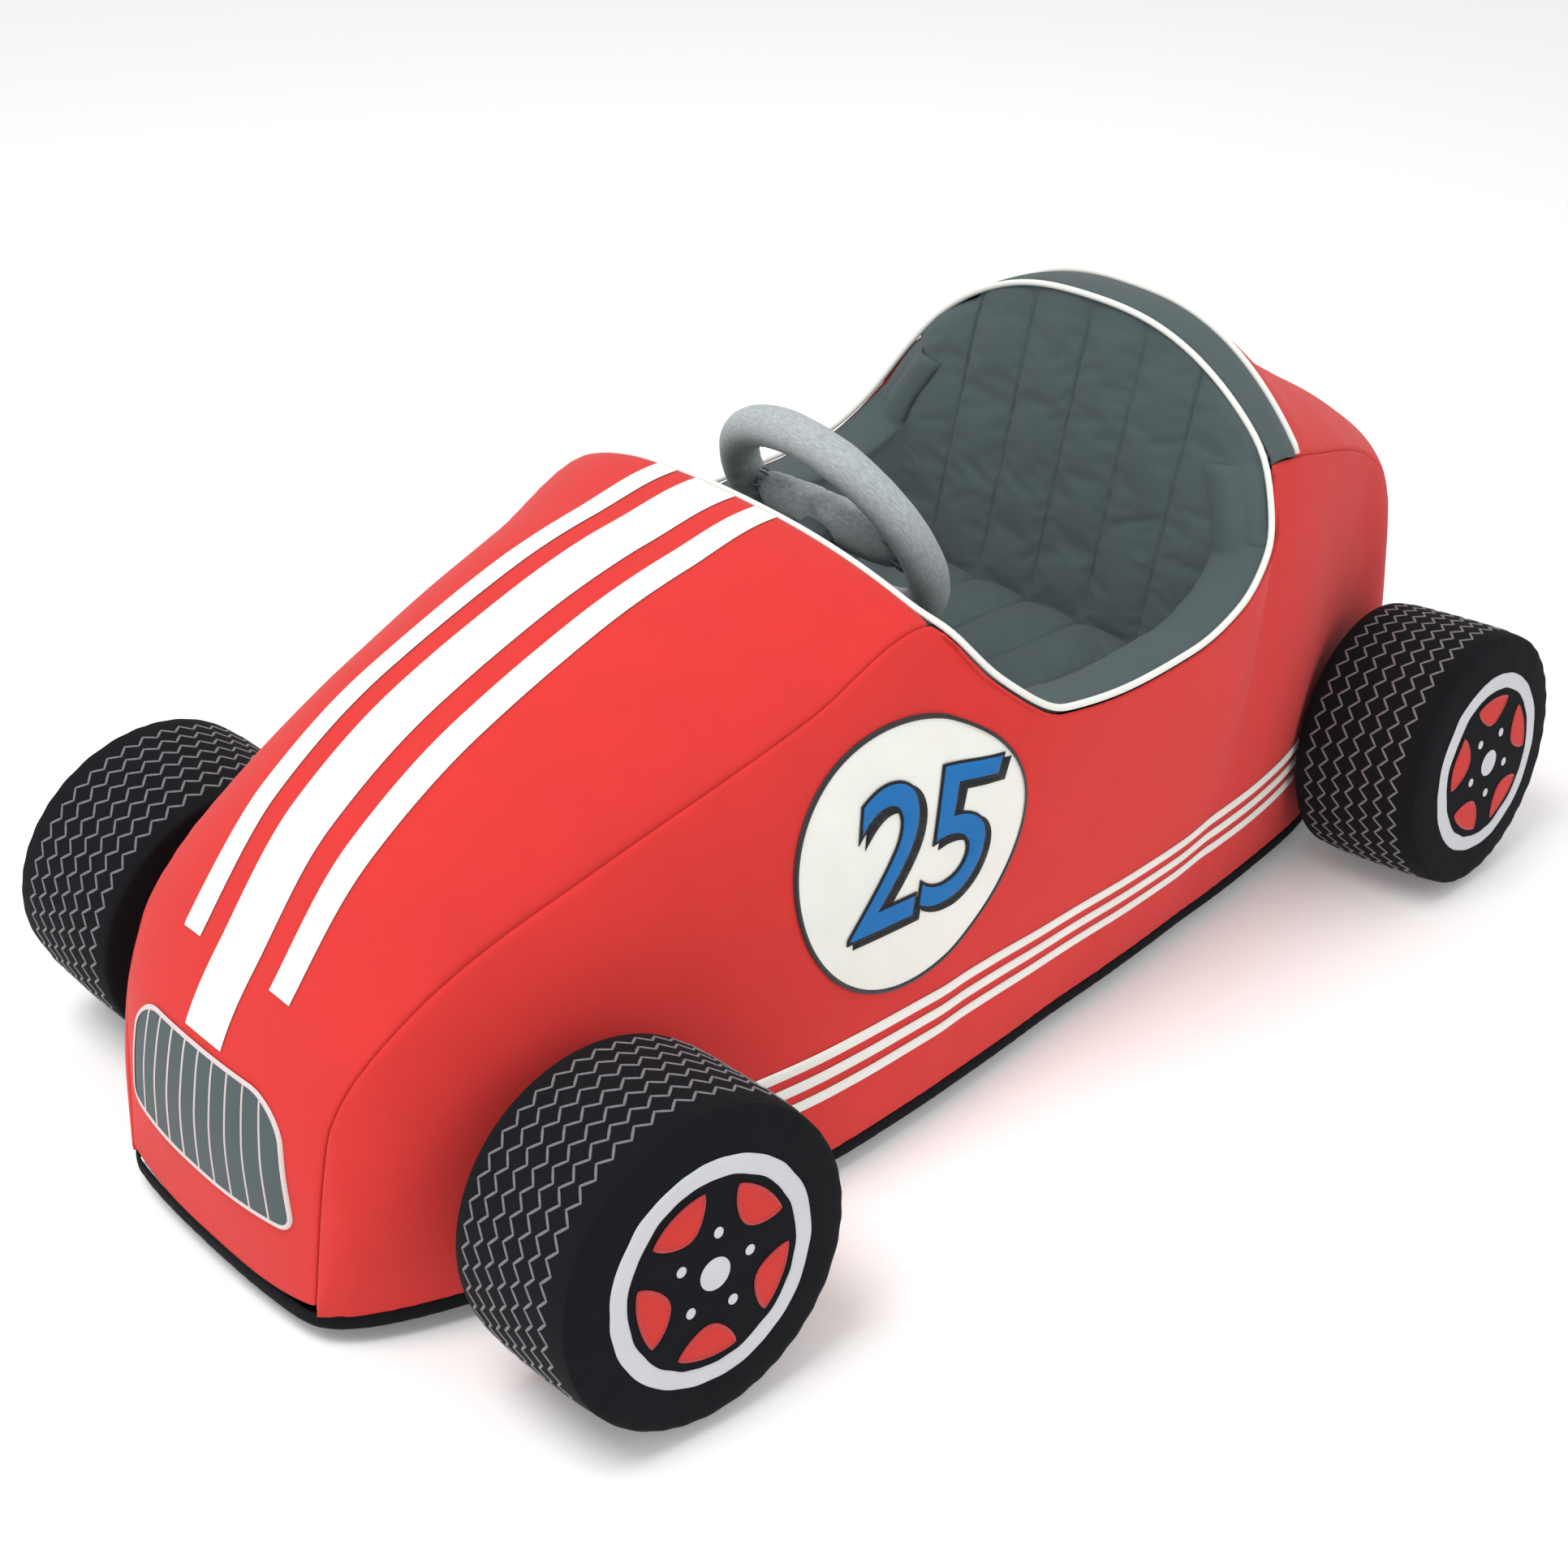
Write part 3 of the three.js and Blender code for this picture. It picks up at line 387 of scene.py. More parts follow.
def satin(name, code, stitch=0.0011, rough=0.55):
    """Satin stitch: glossy threads laid side by side across a line, read along the ribbon's own length."""
    made = bpy.data.materials.new(name)
    made.use_nodes = True
    tree = made.node_tree
    shader = tree.nodes["Principled BSDF"]
    place = node(tree, "ShaderNodeTexCoord")
    threads = node(tree, "ShaderNodeTexWave", {"Vector": place.outputs["UV"]}, wave_type="BANDS",
                   bands_direction="Y", Scale=0.314 / stitch, Distortion=0.6, Detail=1.0)
    shade = node(tree, "ShaderNodeMapRange", {"Value": threads.outputs["Fac"]}, To_Min=0.82, To_Max=1.08)
    tint = node(tree, "ShaderNodeVectorMath", {1: shade.outputs[0]}, operation="MULTIPLY")
    tint.inputs[0].default_value = linear(code)[:3]
    tree.links.new(tint.outputs[0], shader.inputs["Base Color"])
    raised = node(tree, "ShaderNodeBump", {"Height": threads.outputs["Fac"]}, Strength=0.5, Distance=0.0004)
    tree.links.new(raised.outputs[0], shader.inputs["Normal"])
    shader.inputs["Roughness"].default_value = rough
    shader.inputs["Sheen Weight"].default_value = 0.15
    return made


def ribbon(bm, surface, path, width, height, closed=False):
    """A raised line of stitches along a path of places on a surface; it adds to the mesh given."""
    count = len(path)
    points = [surface(a, b, 0) for a, b in path]
    steps = []
    total = 0
    for i, (a, b) in enumerate(path):
        ahead = points[(i + 1) % count] if closed or i + 1 < count else points[i]
        behind = points[i - 1] if closed or i else points[i]
        run = (ahead - behind).normalized()
        lifted = surface(a, b, 1.0)
        normal = (lifted - points[i]).normalized()
        total += (points[i] - behind).length if i else 0
        steps.append((points[i], run.cross(normal).normalized(), normal, total))
    if closed:
        first = steps[0]
        steps.append((first[0], first[1], first[2], total + (points[0] - points[-1]).length))
    layer = bm.loops.layers.uv.verify()
    made = bmesh.ops.create_grid(bm, x_segments=4, y_segments=len(steps) - 1, size=0.5)["verts"]
    spot = {v: (v.co.x + 0.5, round((v.co.y + 0.5) * (len(steps) - 1))) for v in made}
    for v in made:
        u, i = spot[v]
        p, across, normal, s = steps[i]
        crown = 1 - (2 * u - 1) ** 2
        v.co = p + across * (u - 0.5) * width / 1000 + normal * (crown * height - 0.25) / 1000
    faces = {f for v in made for f in v.link_faces}
    for f in faces:
        for loop in f.loops:
            u, i = spot[loop.vert]
            loop[layer].uv = (u * width / 1000, steps[i][3])
    bm.normal_update()
    normals = {i: s[2] for i, s in enumerate(steps)}
    if sum(f.normal.dot(normals[spot[f.verts[0]][1]]) for f in faces) < 0:
        bmesh.ops.reverse_faces(bm, faces=list(faces))


LOW, HIGH = 74, 159


def nose_y(z):
    low, high = float(NOSE), -60.0
    for _ in range(30):
        middle = (low + high) / 2
        low, high = (middle, high) if line("centre", middle) < z else (low, middle)
    return low


def grille_half(z):
    half = 88 - 13 * (z - LOW) / (HIGH - LOW)
    for corner, gap in ((26, HIGH - z), (12, z - LOW)):
        if gap < corner:
            half -= corner - math.sqrt(max(0, corner**2 - (corner - gap) ** 2))
    return half


def nose_at(x, z, lift):
    return hood_at(x, nose_y(z), lift)


def patch_at(u, v):
    z = LOW + v * (HIGH - LOW)
    return nose_at((2 * u - 1) * grille_half(z), z, 0.9)


patch = panel("grille_patch", 40, 50, patch_at, Vector((0, -1, 0)))
fitted(patch, grey_twill, "grey_lining", "grille_patch")
border = bmesh.new()
heights = [LOW + (HIGH - LOW) * (0.5 - 0.5 * math.cos(math.pi * i / 40)) for i in range(41)]
outline = [(grille_half(z), z) for z in heights]
outline = [(x * s / 8, LOW) for s in range(-8, 8) for x in (outline[0][0],)][1:] + outline
outline += [(outline[-1][0] * (1 - s / 8), HIGH) for s in range(1, 16)]
outline += [(-grille_half(z), z) for z in reversed(heights)]
ribbon(border, lambda x, z, lift: nose_at(x, z, 1.0 + lift), outline, 3.4, 1.1, closed=True)
for bar in range(9):
    u = (bar + 1) / 5 - 1
    ribbon(border, lambda x, z, lift: nose_at(x, z, 1.0 + lift),
           [(u * (86 - 12 * i / 30), LOW + 0.5 + (HIGH - LOW - 1) * i / 30) for i in range(31)
            if abs(u * (86 - 12 * i / 30)) < grille_half(LOW + 0.5 + (HIGH - LOW - 1) * i / 30)], 1.7, 0.8)
grille_satin = satin("pale_pink_satin_stitch", "#E3D3D2")
grille_lines = fitted(piece("grille_stitching", border), grille_satin, "white_twill")
spots = [nose_at(0, LOW + (HIGH - LOW) * i / 20, 0) for i in range(21)]
tall = sum((b - a).length for a, b in zip(spots, spots[1:]))

# The number discs: a round of white twill on each side with a black satin edge, and a plain race number
# in blue twill on a black ground that shows as its outline and its shadow.
ROUND_Y, ROUND_Z, ROUND = 262, 222, 90
black_satin = satin("black_satin_stitch", "#17181B")
blue_twill = twill("blue_cotton_twill", "#0C6DB2")
dark_twill = twill("black_applique_twill", "#17181B")


def side_at(sign):
    def at(y, z, lift):
        share = (z - FOOT) / (line("edge", y) - FOOT)
        return placed(mirrored(side(y, share, lift), sign))
    return at


def numeral(name, sign, swell, shift, lift, cloth, slot):
    text = bpy.data.curves.new(name, "FONT")
    text.body, text.size, text.shear, text.offset = "25", 0.134, 0.22, swell
    text.align_x, text.align_y, text.space_character = "CENTER", "CENTER", 0.92
    letters = bpy.data.objects.new(name + "_text", text)
    bpy.context.scene.collection.objects.link(letters)
    bpy.context.view_layer.update()
    flat = bpy.data.meshes.new_from_object(letters.evaluated_get(bpy.context.evaluated_depsgraph_get()))
    bpy.data.objects.remove(letters)
    bm = bmesh.new()
    bm.from_mesh(flat)
    for axis in (Vector((1, 0, 0)), Vector((0, 1, 0))):
        for cut in range(-12, 13):
            bmesh.ops.bisect_plane(bm, geom=bm.verts[:] + bm.edges[:] + bm.faces[:],
                                   plane_co=axis * cut * 0.008, plane_no=axis)
    at = side_at(sign)
    for v in bm.verts:
        v.co = at(ROUND_Y + sign * (v.co.x * 1000 * 0.9 + shift), ROUND_Z + v.co.y * 1000 - shift * 0.8, lift)
    bm.normal_update()
    if sum(f.normal.x for f in bm.faces) * sign < 0:
        bmesh.ops.reverse_faces(bm, faces=bm.faces[:])
    return fitted(piece(name, bm, 0.5), cloth, slot)


for word, sign in (("left", 1), ("right", -1)):
    at = side_at(sign)

    def disc(u, v):
        a, b = 2 * u - 1, 2 * v - 1
        x, z = a * math.sqrt(1 - b * b / 2), b * math.sqrt(1 - a * a / 2)
        return at(ROUND_Y + x * ROUND, ROUND_Z + z * ROUND, 1.1)

    disc_piece = panel("number_disc_" + word, 48, 48, disc, Vector((sign, 0, 0)))
    fitted(disc_piece, white_twill, "white_twill", "number_roundel_" + word)
    edge = bmesh.new()
    ribbon(edge, lambda y, z, lift: at(y, z, 1.1 + lift),
           [(ROUND_Y + ROUND * math.cos(math.tau * i / 160), ROUND_Z + ROUND * math.sin(math.tau * i / 160))
            for i in range(160)], 3.6, 1.2, closed=True)
    disc_edge = fitted(piece("number_disc_edge_" + word, edge), black_satin, "black_twill")
    shadow = numeral("number_shadow_" + word, sign, 0.0022, 5.0, 1.7, dark_twill, "black_twill")
    outline = numeral("number_outline_" + word, sign, 0.0022, 0.0, 2.1, dark_twill, "black_twill")
    digits = numeral("number_" + word, sign, 0.0, 0.0, 2.7, blue_twill, "white_twill")

# The side stripes: three narrow strips of off-white twill low on each side, between the wheels.
for word, sign in (("left", 1), ("right", -1)):
    at = side_at(sign)
    for name, high in (("upper", 112), ("middle", 96.5), ("lower", 81)):
        stripe = panel("side_stripe_" + name + "_" + word, 8, 200,
                       lambda u, v: at(60 + 690 * v, high - 8.6 * u, 0.5 + turned_edge(u, 8.6)),
                       Vector((sign, 0, 0)))
        fitted(stripe, white_twill, "white_twill", "side_stripe_" + name + "_" + word)

# The piping: off-white twill folded over a round cord and caught in the seam, once right round the cockpit
# and once more over the rear of the headrest.
piping_cloth = twill("off_white_piping_twill", "#ECECE6", rib=0.0012, bump=0.2, mottle=0.02)
CORD = 2.3


def smoothed(points, rounds, closed):
    for _ in range(rounds):
        n = len(points)
        points = [points[i] if not closed and i in (0, n - 1) else
                  points[i] * 0.5 + (points[i - 1] + points[(i + 1) % n]) * 0.25 for i in range(n)]
    return points


def corded(name, points, radius, closed):
    curve = bpy.data.curves.new(name, "CURVE")
    curve.dimensions, curve.bevel_depth, curve.bevel_resolution = "3D", radius / 1000, 4
    spline = curve.splines.new("POLY")
    spline.points.add(len(points) - 1)
    for spot, p in zip(spline.points, points):
        spot.co = (*placed(p), 1)
    spline.use_cyclic_u = closed
    curve.use_fill_caps = not closed
    shape = bpy.data.objects.new(name + "_line", curve)
    bpy.context.scene.collection.objects.link(shape)
    bpy.context.view_layer.update()
    mesh = bpy.data.meshes.new_from_object(shape.evaluated_get(bpy.context.evaluated_depsgraph_get()))
    bpy.data.objects.remove(shape)
    bm = bmesh.new()
    bm.from_mesh(mesh)
    return piece(name, bm)


rim = []
for i in range(100):
    y = COWL + 5 + (ARCH - COWL - 9) * i / 99
    into = inward(y)
    rim.append(Vector((line("top", y) - 1.5, y, line("edge", y))) - into * 2.6)
cowl = [top(COWL, s / 30 * 0.97) + Vector((0, 2.6, -0.5)) for s in range(-30, 31)]
arch = [top(ARCH, -s / 30 * 0.97) + Vector((0, -2.8, -0.5)) for s in range(-30, 31)]
far = [mirrored(p, -1) for p in reversed(rim)]
fitted(corded("cockpit_piping", smoothed(cowl + rim + arch + far, 5, True), CORD, True),
       piping_cloth, "white_twill", "cockpit_piping")
rear = []
for s in range(-40, 41):
    p = top(BAND_REAR, s / 40 * 0.995)
    middle = Vector((0, p.y, 229))
    rear.append(p + (p - middle).normalized() * 2.2)
fitted(corded("headrest_piping", rear, CORD, False), piping_cloth, "white_twill", "headrest_piping")

# The headrest band: a strip of the grey lining over the thick top of the seat's back, between the pipings.
band = panel("headrest_band", 90, 20,
             lambda u, v: placed(top(ARCH + 0.5 + (BAND_REAR - ARCH - 1) * v, seam_to_seam(u),
                                     2.5 * math.sin(math.pi * v) ** 0.6)), Vector((0, 0, 1)), COVER)
fitted(band, grey_twill, "grey_lining", "headrest_band")

# The seat's lining: grey twill quilted over soft wadding. The back and the seat are stitched in channels
# that run on from one to the other, and a thick padded liner rolls over each rim.
SEAT, SLOPE, BACK_FOOT = 236, 0.215, 579
QUILT = (-104, -52, 0, 52, 104)


def channels(x, depth, swell):
    near = min(abs(x - q) for q in QUILT)
    return swell * (1 - math.exp(-near / 9)) - depth * math.exp(-near / 1.1)


def gathered_to_lines(x):
    """Draw the mesh's columns in towards the stitched lines, where the shape changes fastest."""
    return x - 5 * math.sin(math.tau * x / 52) if abs(x) < 130 else x


def rim_at(z):
    """How far back the rim is where it has climbed to a height beside the seat's back."""
    low, high = 540.0, float(ARCH)
    for _ in range(24):
        middle = (low + high) / 2
        low, high = (middle, high) if line("edge", middle) < z else (low, middle)
    return low


def back_at(u, v):
    s = 2 * u - 1
    roof = top(ARCH, s * 0.97).z - 1
    z = 214 + (roof - 214) * v
    rim_y = rim_at(min(max(z, 335), 382))
    open_side = min(1, max(0, (z - 290) / 45))
    open_side *= open_side * (3 - 2 * open_side)
    half = 168 * (0.84 + 0.16 * min(v * 1.4, 1))
    half += (line("top", rim_y) - 5 - half) * open_side
    p = Vector((gathered_to_lines(half * s), 0, z))
    from_edge = min((1 - v) * (roof - 214), (1 - abs(s)) * 160)
    puff = channels(p.x, 2.0, 2.6) * (1 - math.exp(-max(0, z - SEAT) / 8)) + 1.6 * noise.noise(p / 42)
    near_line = min(abs(p.x - q) for q in QUILT)
    puff += 0.3 * math.sin(z / 3.1 + 4 * noise.noise(p / 25)) * math.exp(-near_line / 5)
    puff -= 2 * math.exp(-from_edge / 4)
    flat = BACK_FOOT + (z - SEAT) * SLOPE - 1
    flat += (ARCH - 2 - flat) * math.exp(-(1 - v) * (roof - 214) / 9)
    p.y = min(flat - puff + (rim_y - flat) * open_side * math.exp(-(1 - abs(s)) * half / 14), ARCH - 2)
    return placed(p)


def stuffed(made, held, pressure, slack, cap):
    """Let the cloth swell and crease over its wadding, held where it is stitched, as far as the cap."""
    scene = bpy.context.scene
    others = list(made.modifiers)
    for other in others:
        other.show_viewport = False
    pins = made.vertex_groups.new(name="stitched")
    for v in made.data.vertices:
        pins.add([v.index], held(v.co), "REPLACE")
    swelling = made.modifiers.new("swelling", "CLOTH")
    swelling.settings.vertex_group_mass = "stitched"
    swelling.settings.use_pressure = True
    swelling.settings.uniform_pressure_force = pressure
    swelling.settings.shrink_min = -slack
    swelling.settings.effector_weights.gravity = 0
    swelling.point_cache.frame_end = 20
    for moment in range(1, 21):
        scene.frame_set(moment)
    swollen = bpy.data.meshes.new_from_object(made.evaluated_get(bpy.context.evaluated_depsgraph_get()))
    far = 0
    for v, w in zip(made.data.vertices, swollen.vertices):
        step = w.co - v.co
        far = max(far, step.length)
        v.co += step * min(1, cap / max(step.length, 1e-9))
    print("swelled", made.name, round(far * 1000, 1), "mm at most, capped at", cap * 1000)
    made.modifiers.remove(swelling)
    made.vertex_groups.remove(pins)
    bpy.data.meshes.remove(swollen)
    scene.frame_set(1)
    for other in others:
        other.show_viewport = True


def at_lines(edge, low, high):
    def held(co):
        near = min(abs(co.x * 1000 - q) for q in QUILT)
        z = co.z * 1000
        return 1.0 if near < 1.4 or abs(co.x) * 1000 > edge or z < low or z > high else 0.0
    return held


seat_back = panel("seat_back", 150, 90, back_at, Vector((0, -1, 0)), 3)
stuffed(seat_back, at_lines(150, 236, 440), 1.2, 0.008, 0.003)
fitted(seat_back, grey_twill, "grey_lining", "back_pad")


def seat_at(u, v):
    x = gathered_to_lines(129 * (2 * u - 1))
    if v < 0.25:
        z = SEAT - 34.5 + 136 * v
        y = 373 + 9 * max(0, (z - SEAT + 10.5) / 10) ** 2
    else:
        y, z = 382 + (BACK_FOOT - 380) * (v - 0.25) / 0.75, SEAT - 0.5
    p = Vector((x, y, z))
    puff = channels(x, 1.8, 2.6) + 1.2 * noise.noise(p / 40) - 5 * math.exp(-max(0, BACK_FOOT - y) / 6)
    p.z += puff if v >= 0.2 else puff * v / 0.2
    return placed(p)


seat = panel("seat_cushion", 110, 100, seat_at, Vector((0, -0.3, 1)), 18)
stuffed(seat, at_lines(126, 216, 900), 1.2, 0.008, 0.003)
fitted(seat, grey_twill, "grey_lining", "seat_pad", "seat_foam")


def along_line(points, t):
    """A smooth curve through a few places."""
    n = len(points) - 1
    k = min(n - 1, int(t * n))
    f = t * n - k
    a, b, c, d = (points[max(0, min(n, k + i))] for i in (-1, 0, 1, 2))
    return 0.5 * (2 * b + (c - a) * f + (2 * a - 5 * b + 4 * c - d) * f * f + (3 * b - a - 3 * c + d) * f**3)


LINER_TOP = 621


def liner_at(y, t):
    into = inward(y)
    r = Vector((line("top", y) - 1.5, y, line("edge", y) - 1.0))
    shelf = 42 * min(1, max(0.25, (y - COWL) / 60))
    lean = (y - COWL) / (ARCH - COWL) * SLOPE
    inner = max(r.x - shelf, 131) + 0.4 * math.sin(y / 4.0 + 3 * noise.noise(Vector((y / 30, 0, 5))))
    places = [Vector((x, y + (z - r.z) * lean, z)) for x, z in (
        (r.x - 2.5, r.z + 1.3), (r.x - shelf * 0.5, r.z + 3), (inner, r.z - 1), (inner - 5, r.z - 12),
        (130 + 0.35 * (inner - 130), (r.z + SEAT) / 2 - 10), (129.5, SEAT - 8))]
    p = along_line(places, t)
    p.x += 1.6 * noise.noise(p / 36)
    p.z += 1.2 * noise.noise(p / 30 + Vector((3, 1, 2))) * min(1, t * 4)
    return p


def liner_end(y, t):
    """The liner's roll stands a little in front of the back, and its foot runs in behind it."""
    p = liner_at(y, t)
    stand = along_line([40.0, -4.0, -8.0, 5.0, 5.0, 5.0], t)
    p.y = min(p.y, BACK_FOOT + (p.z - SEAT) * SLOPE + stand)
    return p


for word, sign in (("left", 1), ("right", -1)):
    liner = panel("side_liner_" + word, 40, 120,
                  lambda u, v: placed(mirrored(liner_end(COWL + 8 + (LINER_TOP - COWL - 8) * v, u), sign)),
                  Vector((-sign, 0, 0.6)), 2)
    fitted(liner, grey_twill, "grey_lining", "side_liner_" + word)


def dash_at(u, v):
    s = (2 * u - 1) * 0.93
    p = top(COWL, s)
    depth = 9 + 3 * math.sin(math.pi * v)
    return placed(Vector((p.x, p.y + depth, (p.z - 3) * (1 - v) + 255 * v)))


dash = panel("dash_lining", 60, 30, dash_at, Vector((0, 1, 0)), 6)
fitted(dash, grey_twill, "grey_lining", "dash_liner")
# The footwell: a plain grey lining under the cowl and down the front of the seat, out of the light.
HALF_WELL, WELL_FRONT, WELL_REAR, WELL_FLOOR, WELL_ROOF = 128.5, 60, 374, 44, 254
well = bmesh.new()


def well_at(across, back_by, up_by, end=WELL_REAR, high=WELL_ROOF):
    return placed(Vector((across * HALF_WELL, WELL_FRONT + (end - WELL_FRONT) * back_by,
                          WELL_FLOOR + (high - WELL_FLOOR) * up_by)))


for sign in (1, -1):
    panel("", 4, 4, lambda u, v: well_at(sign, u, v), Vector((-sign, 0, 0)), mesh=well)
for place, high, out in ((0, WELL_ROOF, 1), (1, SEAT - 32, -1)):
    panel("", 4, 4, lambda u, v: well_at(2 * u - 1, place, v, high=high), Vector((0, out, 0)), mesh=well)
for place, end, out in ((0, WELL_REAR, 1), (1, COWL + 22, -1)):
    panel("", 4, 4, lambda u, v: well_at(2 * u - 1, v, place, end=end), Vector((0, 0, out)), mesh=well)
fitted(piece("footwell_lining", well), grey_twill, "grey_lining")

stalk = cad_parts["steering_stalk"]
stalk.data.materials.clear()
stalk.data.materials.append(grey_twill)

# The steering wheel: a ring and a pillow bar of marl-grey jersey, stuffed firmly and sewn together by hand
# with thick grey thread, on a short stuffed stalk.
def jersey(name, light, dark, space, cells):
    made = bpy.data.materials.new(name)
    made.use_nodes = True
    tree = made.node_tree
    shader = tree.nodes["Principled BSDF"]
    place = node(tree, "ShaderNodeTexCoord")
    stretch = node(tree, "ShaderNodeMapping", {"Vector": place.outputs[space]}, Scale=cells)
    fleck = node(tree, "ShaderNodeTexNoise", {"Vector": stretch.outputs[0]}, Scale=1.0, Detail=5.0,
                 Roughness=0.7)
    colours = node(tree, "ShaderNodeValToRGB", {"Fac": fleck.outputs["Fac"]})
    colours.color_ramp.elements[0].position, colours.color_ramp.elements[0].color = 0.38, linear(dark)
    colours.color_ramp.elements[1].position, colours.color_ramp.elements[1].color = 0.62, linear(light)
    tree.links.new(colours.outputs[0], shader.inputs["Base Color"])
    raised = node(tree, "ShaderNodeBump", {"Height": fleck.outputs["Fac"]}, Strength=0.35, Distance=0.0006)
    tree.links.new(raised.outputs[0], shader.inputs["Normal"])
    shader.inputs["Roughness"].default_value = 0.95
    shader.inputs["Sheen Weight"].default_value = 0.2
    return made


# The flecks are about seven millimetres long and two high, and lie along the tube and along the bar.
marl = jersey("marl_grey_jersey", "#B6BCBD", "#959C9F", "UV", (110, 70, 1))
marl_bar = jersey("marl_grey_bar_jersey", "#B6BCBD", "#959C9F", "Object", (200, 700, 700))
RING, TUBE, TILT = 83, 14, math.radians(29.8)
hub = Vector((0, 372, 356))
axis = Vector((0, math.cos(TILT), math.sin(TILT)))
lean = Vector((0, -math.sin(TILT), math.cos(TILT)))


def ring_at(u, v, grow=0.0):
    a, b = math.tau * u, math.tau * v
    out = Vector((1, 0, 0)) * math.cos(a) + lean * math.sin(a)
    soft = TUBE * (1 + 0.03 * noise.noise(out * 2.2) + 0.02 * noise.noise(out * 7)) + grow
    soft += 0.25 * math.sin(30 * a + 4 * noise.noise(out * 5)) * max(0, -math.cos(b))
    return hub + out * (RING + soft * math.cos(b)) + axis * soft * math.sin(b)


def ring_uv(u, v):
    return placed(ring_at(u, v))


ring = panel("steering_ring", 200, 40, ring_uv,
             lambda c: c - placed(hub) - (c - placed(hub)).normalized() * 0.083, 0)
fitted(ring, marl, "marl_jersey", "steering_ring", body="steering_wheel")


def spoke_at(u, v):
    a = math.tau * v
    s = 2 * u - 1
    x = 72 * math.copysign(abs(s) ** 0.9, s)
    full = max(0.0, 1 - abs(s) ** 6) ** 0.5
    high = 22 * (0.92 + 0.08 * abs(s)) * full
    thick = 13 * (1 - 0.3 * abs(s) ** 3) * full
    wobble = 1 + 0.06 * noise.noise(Vector((x / 20, math.cos(a), math.sin(a))))
    round_bar = lean * (high * math.sin(a)) + axis * (thick * math.cos(a))
    return placed(hub + Vector((x, 0, 0)) + round_bar * wobble)


spoke = panel("steering_spoke", 60, 36, spoke_at, lambda c: c - placed(hub) - Vector((c.x, 0, 0)), 0)
stuffed(spoke, lambda co: 1.0 if abs(co.x) > 0.066 else 0.0, 2.0, 0.008, 0.003)
fitted(spoke, marl_bar, "marl_jersey", "steering_spoke", body="steering_wheel")
whip = bmesh.new()
for sign in (1, -1):
    for k in range(14):
        a = math.tau * (k + 0.5) / 14
        reach = lean * (20.5 * math.sin(a)) + axis * (9.5 * math.cos(a))
        middle = hub + Vector((sign * (67.5 - 0.022 * (20.5 * math.sin(a)) ** 2), 0, 0)) + reach
        heading = (Vector((sign, 0, 0)) + 0.35 * lean * math.cos(a)).normalized()
        bmesh.ops.create_uvsphere(
            whip, u_segments=8, v_segments=6, radius=1,
            matrix=Matrix.Translation(placed(middle)) @ heading.to_track_quat("Z", "Y").to_matrix().to_4x4()
            @ Matrix.Diagonal((0.0009, 0.0009, 0.0052, 1)))
thick_thread = twill("thick_grey_sewing_thread", "#6F777B", rib=0.0008, mottle=0.1)
fitted(piece("steering_whip_stitches", whip), thick_thread, "marl_jersey", body="steering_wheel")

# The wheels: black twill tyres stuffed firm, each a tread band sewn between two faces. Grey thread is
# stitched in seven zigzags round the tread, and the outer face carries a silver ring, five red windows,
# five wheel nuts and a hub, all appliqued.
WIDE = 51.75
tread_thread = satin("grey_tread_thread", "#77757B")
silver_cloth = twill("silver_grey_satin_cloth", "#C9CBCF", rough=0.6, rib=0.0011, bump=0.15, mottle=0.03)
petal_twill = twill("dark_red_cotton_twill", "#CE2F28")
petal_satin = satin("red_satin_stitch", "#C01F22")
silver_satin = satin("silver_satin_stitch", "#D3D5D9")


def tyre_face(r, angle):
    ripple = 0.35 * math.sin(angle * 34 + 5 * noise.noise(Vector((math.cos(angle), math.sin(angle), 0)) * 2))
    return (WIDE - 1.0 + 2.6 * (1 - math.exp(-(99.4 - r) / 5)) + 4.0 * (1 - (r / 100) ** 2)
            + ripple * math.exp(-(99.4 - r) / 9)
            + 0.9 * noise.noise(Vector((r * math.cos(angle), r * math.sin(angle), 7)) / 28)
            * min(1, (99.4 - r) / 10))


def tyre_tread(x, angle):
    gap = WIDE - abs(x)
    return (99.2 + 1.9 * (1 - (abs(x) / WIDE) ** 3) - 0.9 * math.exp(-gap / 1.6)
            + 0.5 * noise.noise(Vector((x / 30, 2 * math.cos(angle), 2 * math.sin(angle)))) * min(1, gap / 8))


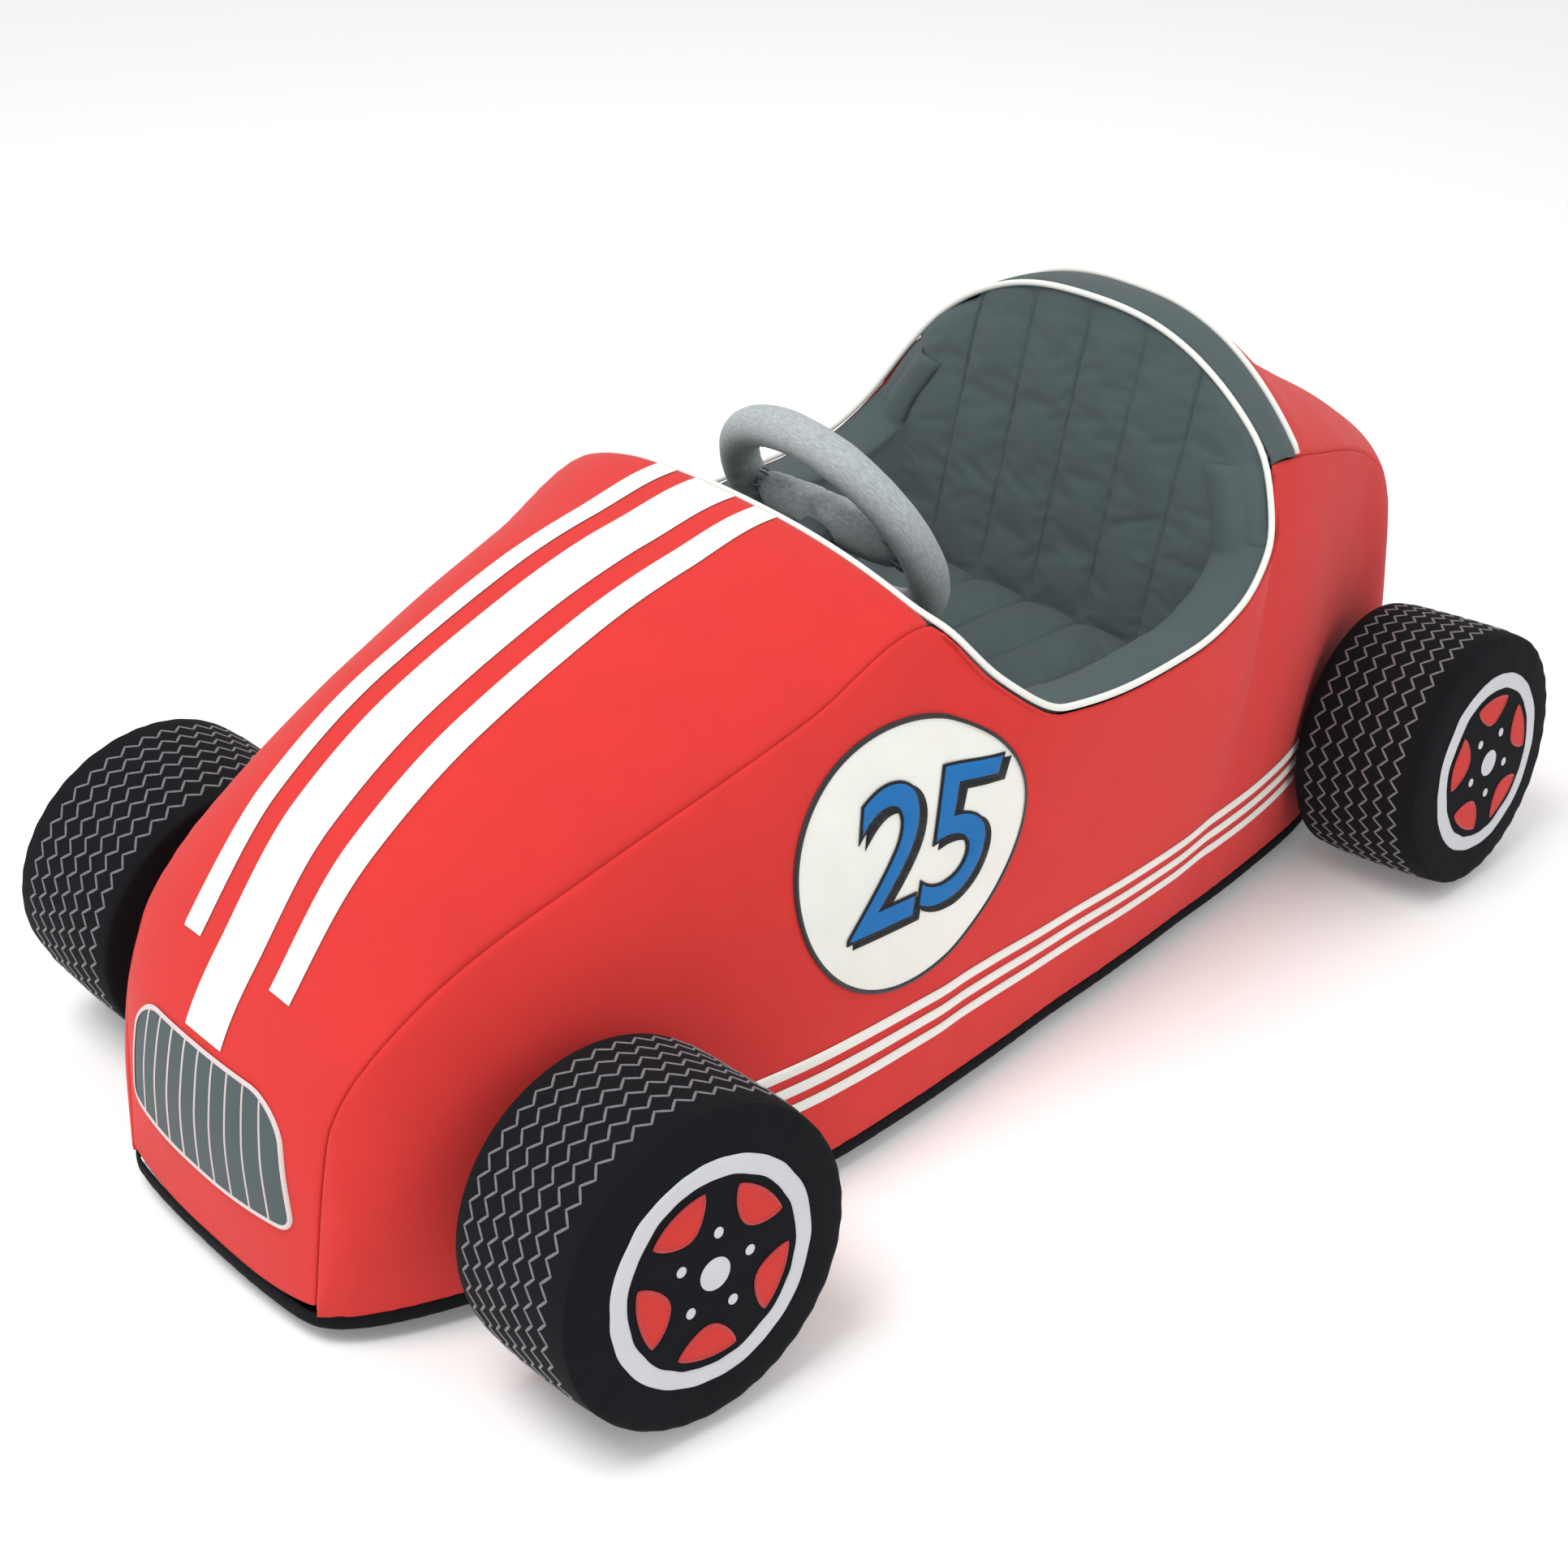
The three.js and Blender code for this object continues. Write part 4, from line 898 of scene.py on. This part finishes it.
for name, sign, camber, toe, phase in (
    ("front_left", 1, 5.4, 2.3, 190), ("front_right", -1, 5.4, 2.3, 30),
    ("rear_left", 1, 4.0, -3.6, 0), ("rear_right", -1, 4.0, -3.6, 50),
):
    low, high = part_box(name + "_core")
    turn = math.radians(-toe) if sign > 0 else math.radians(toe) + math.pi
    leant = Matrix.Rotation(turn, 4, "Z") @ Matrix.Rotation(-math.radians(camber), 4, "Y")
    stance = Matrix.Translation((low + high) / 2) @ leant

    def stood(x, r, angle):
        return stance @ (Vector((x, r * math.sin(angle), r * math.cos(angle))) / 1000)

    def tyre_at(u, v):
        angle = math.tau * u
        s = 3 * v
        if s < 1:
            r = 99.0 * min(1, s * 1.0001) ** 0.8
            return stood(-WIDE - 0.6 + (WIDE - tyre_face(r, angle)) * 0.5, r, angle)
        if s <= 2:
            x = (2 * (s - 1) - 1)
            x = WIDE * math.copysign(1 - (1 - abs(x)) ** 1.3, x)
            return stood(x * 0.999, tyre_tread(x, angle), angle)
        r = 99.0 * max(0, 3 - s) ** 0.8
        return stood(tyre_face(r, angle), r, angle)

    centre = (low + high) / 2
    tyre = panel(name + "_tyre", 176, 108, tyre_at, lambda c: c - centre, 0)
    fitted(tyre, black_twill, "black_twill", name + "_core", name + "_tread_band",
           name + "_outer_face", name + "_inner_face")

    zigzags = bmesh.new()
    for k in range(7):
        x0 = -39 + 12.2 * k
        path = []
        for i in range(44 * 6):
            tooth = i / 6 % 1
            swing = abs(2 * tooth - 1) * 2 - 1
            path.append((x0 + 3.3 * swing * (1 if k % 2 else -1), math.tau * i / (44 * 6)))
        ribbon(zigzags, lambda x, a, lift: stood(x, tyre_tread(x, a) + 0.2 + lift, a),
               path, 1.9, 0.6, closed=True)
    fitted(piece(name + "_tread_stitching", zigzags), tread_thread, "grey_lining")

    def on_face(r, angle, lift):
        return stood(tyre_face(r, angle) + lift, r, angle)

    def hem(angle, seed):
        return 0.8 * noise.noise(Vector((5 * math.cos(angle), 5 * math.sin(angle), seed)))

    def rim_at(u, v):
        angle = math.tau * v
        inner, outer = 59.7 + hem(angle, 1), 71.5 + hem(angle, 9)
        return on_face(inner + (outer - inner) * u, angle, 0.3 + turned_edge(u, 12, 1.0))

    ring_piece = panel(name + "_rim_ring", 12, 180, rim_at, stance.to_3x3() @ Vector((1, 0, 0)))
    fitted(ring_piece, silver_cloth, "silver_satin", name + "_rim_ring")

    windows, window_edges, nuts = bmesh.new(), bmesh.new(), bmesh.new()
    out = stance.to_3x3() @ Vector((1, 0, 0))
    for k in range(5):
        heading = math.radians(phase + 72 * k) * sign

        def window(u, v):
            s = 2 * u - 1
            deep = 20 * math.sqrt(max(0, 1 - s * s))
            return on_face(53 - deep * v, heading + math.radians(22) * s, 0.8)

        panel("", 20, 10, window, out, mesh=windows)
        edge_path = [(53, heading + math.radians(22) * (i / 10 - 1)) for i in range(20)]
        turns = [math.pi * i / 30 for i in range(30)]
        edge_path += [(53 - 20 * math.sin(t), heading + math.radians(22) * math.cos(t)) for t in turns]
        ribbon(window_edges, lambda r, a, lift: on_face(r, a, 0.8 + lift), edge_path, 2.4, 0.8, closed=True)
        at_nut = heading + math.radians(36)

        def nut(u, v):
            a, b = 2 * u - 1, 2 * v - 1
            x, z = a * math.sqrt(1 - b * b / 2) * 3.4, b * math.sqrt(1 - a * a / 2) * 3.4
            cy, cz = 25.5 * math.sin(at_nut) + x, 25.5 * math.cos(at_nut) + z
            return on_face(math.hypot(cy, cz), math.atan2(cy, cz), 0.3 + 1.0 * (1 - (x * x + z * z) / 11.6))

        panel("", 8, 8, nut, out, mesh=nuts)

    def boss(u, v):
        a, b = 2 * u - 1, 2 * v - 1
        x, z = a * math.sqrt(1 - b * b / 2) * 10.5, b * math.sqrt(1 - a * a / 2) * 10.5
        return on_face(math.hypot(x, z), math.atan2(x, z), 0.4 + 1.0 * (1 - (x * x + z * z) / 110.3))

    panel("", 16, 16, boss, out, mesh=nuts)
    fitted(piece(name + "_windows", windows), petal_twill, "red_twill")
    fitted(piece(name + "_window_stitching", window_edges), petal_satin, "red_twill")
    fitted(piece(name + "_hub_and_nuts", nuts), silver_cloth, "silver_satin")
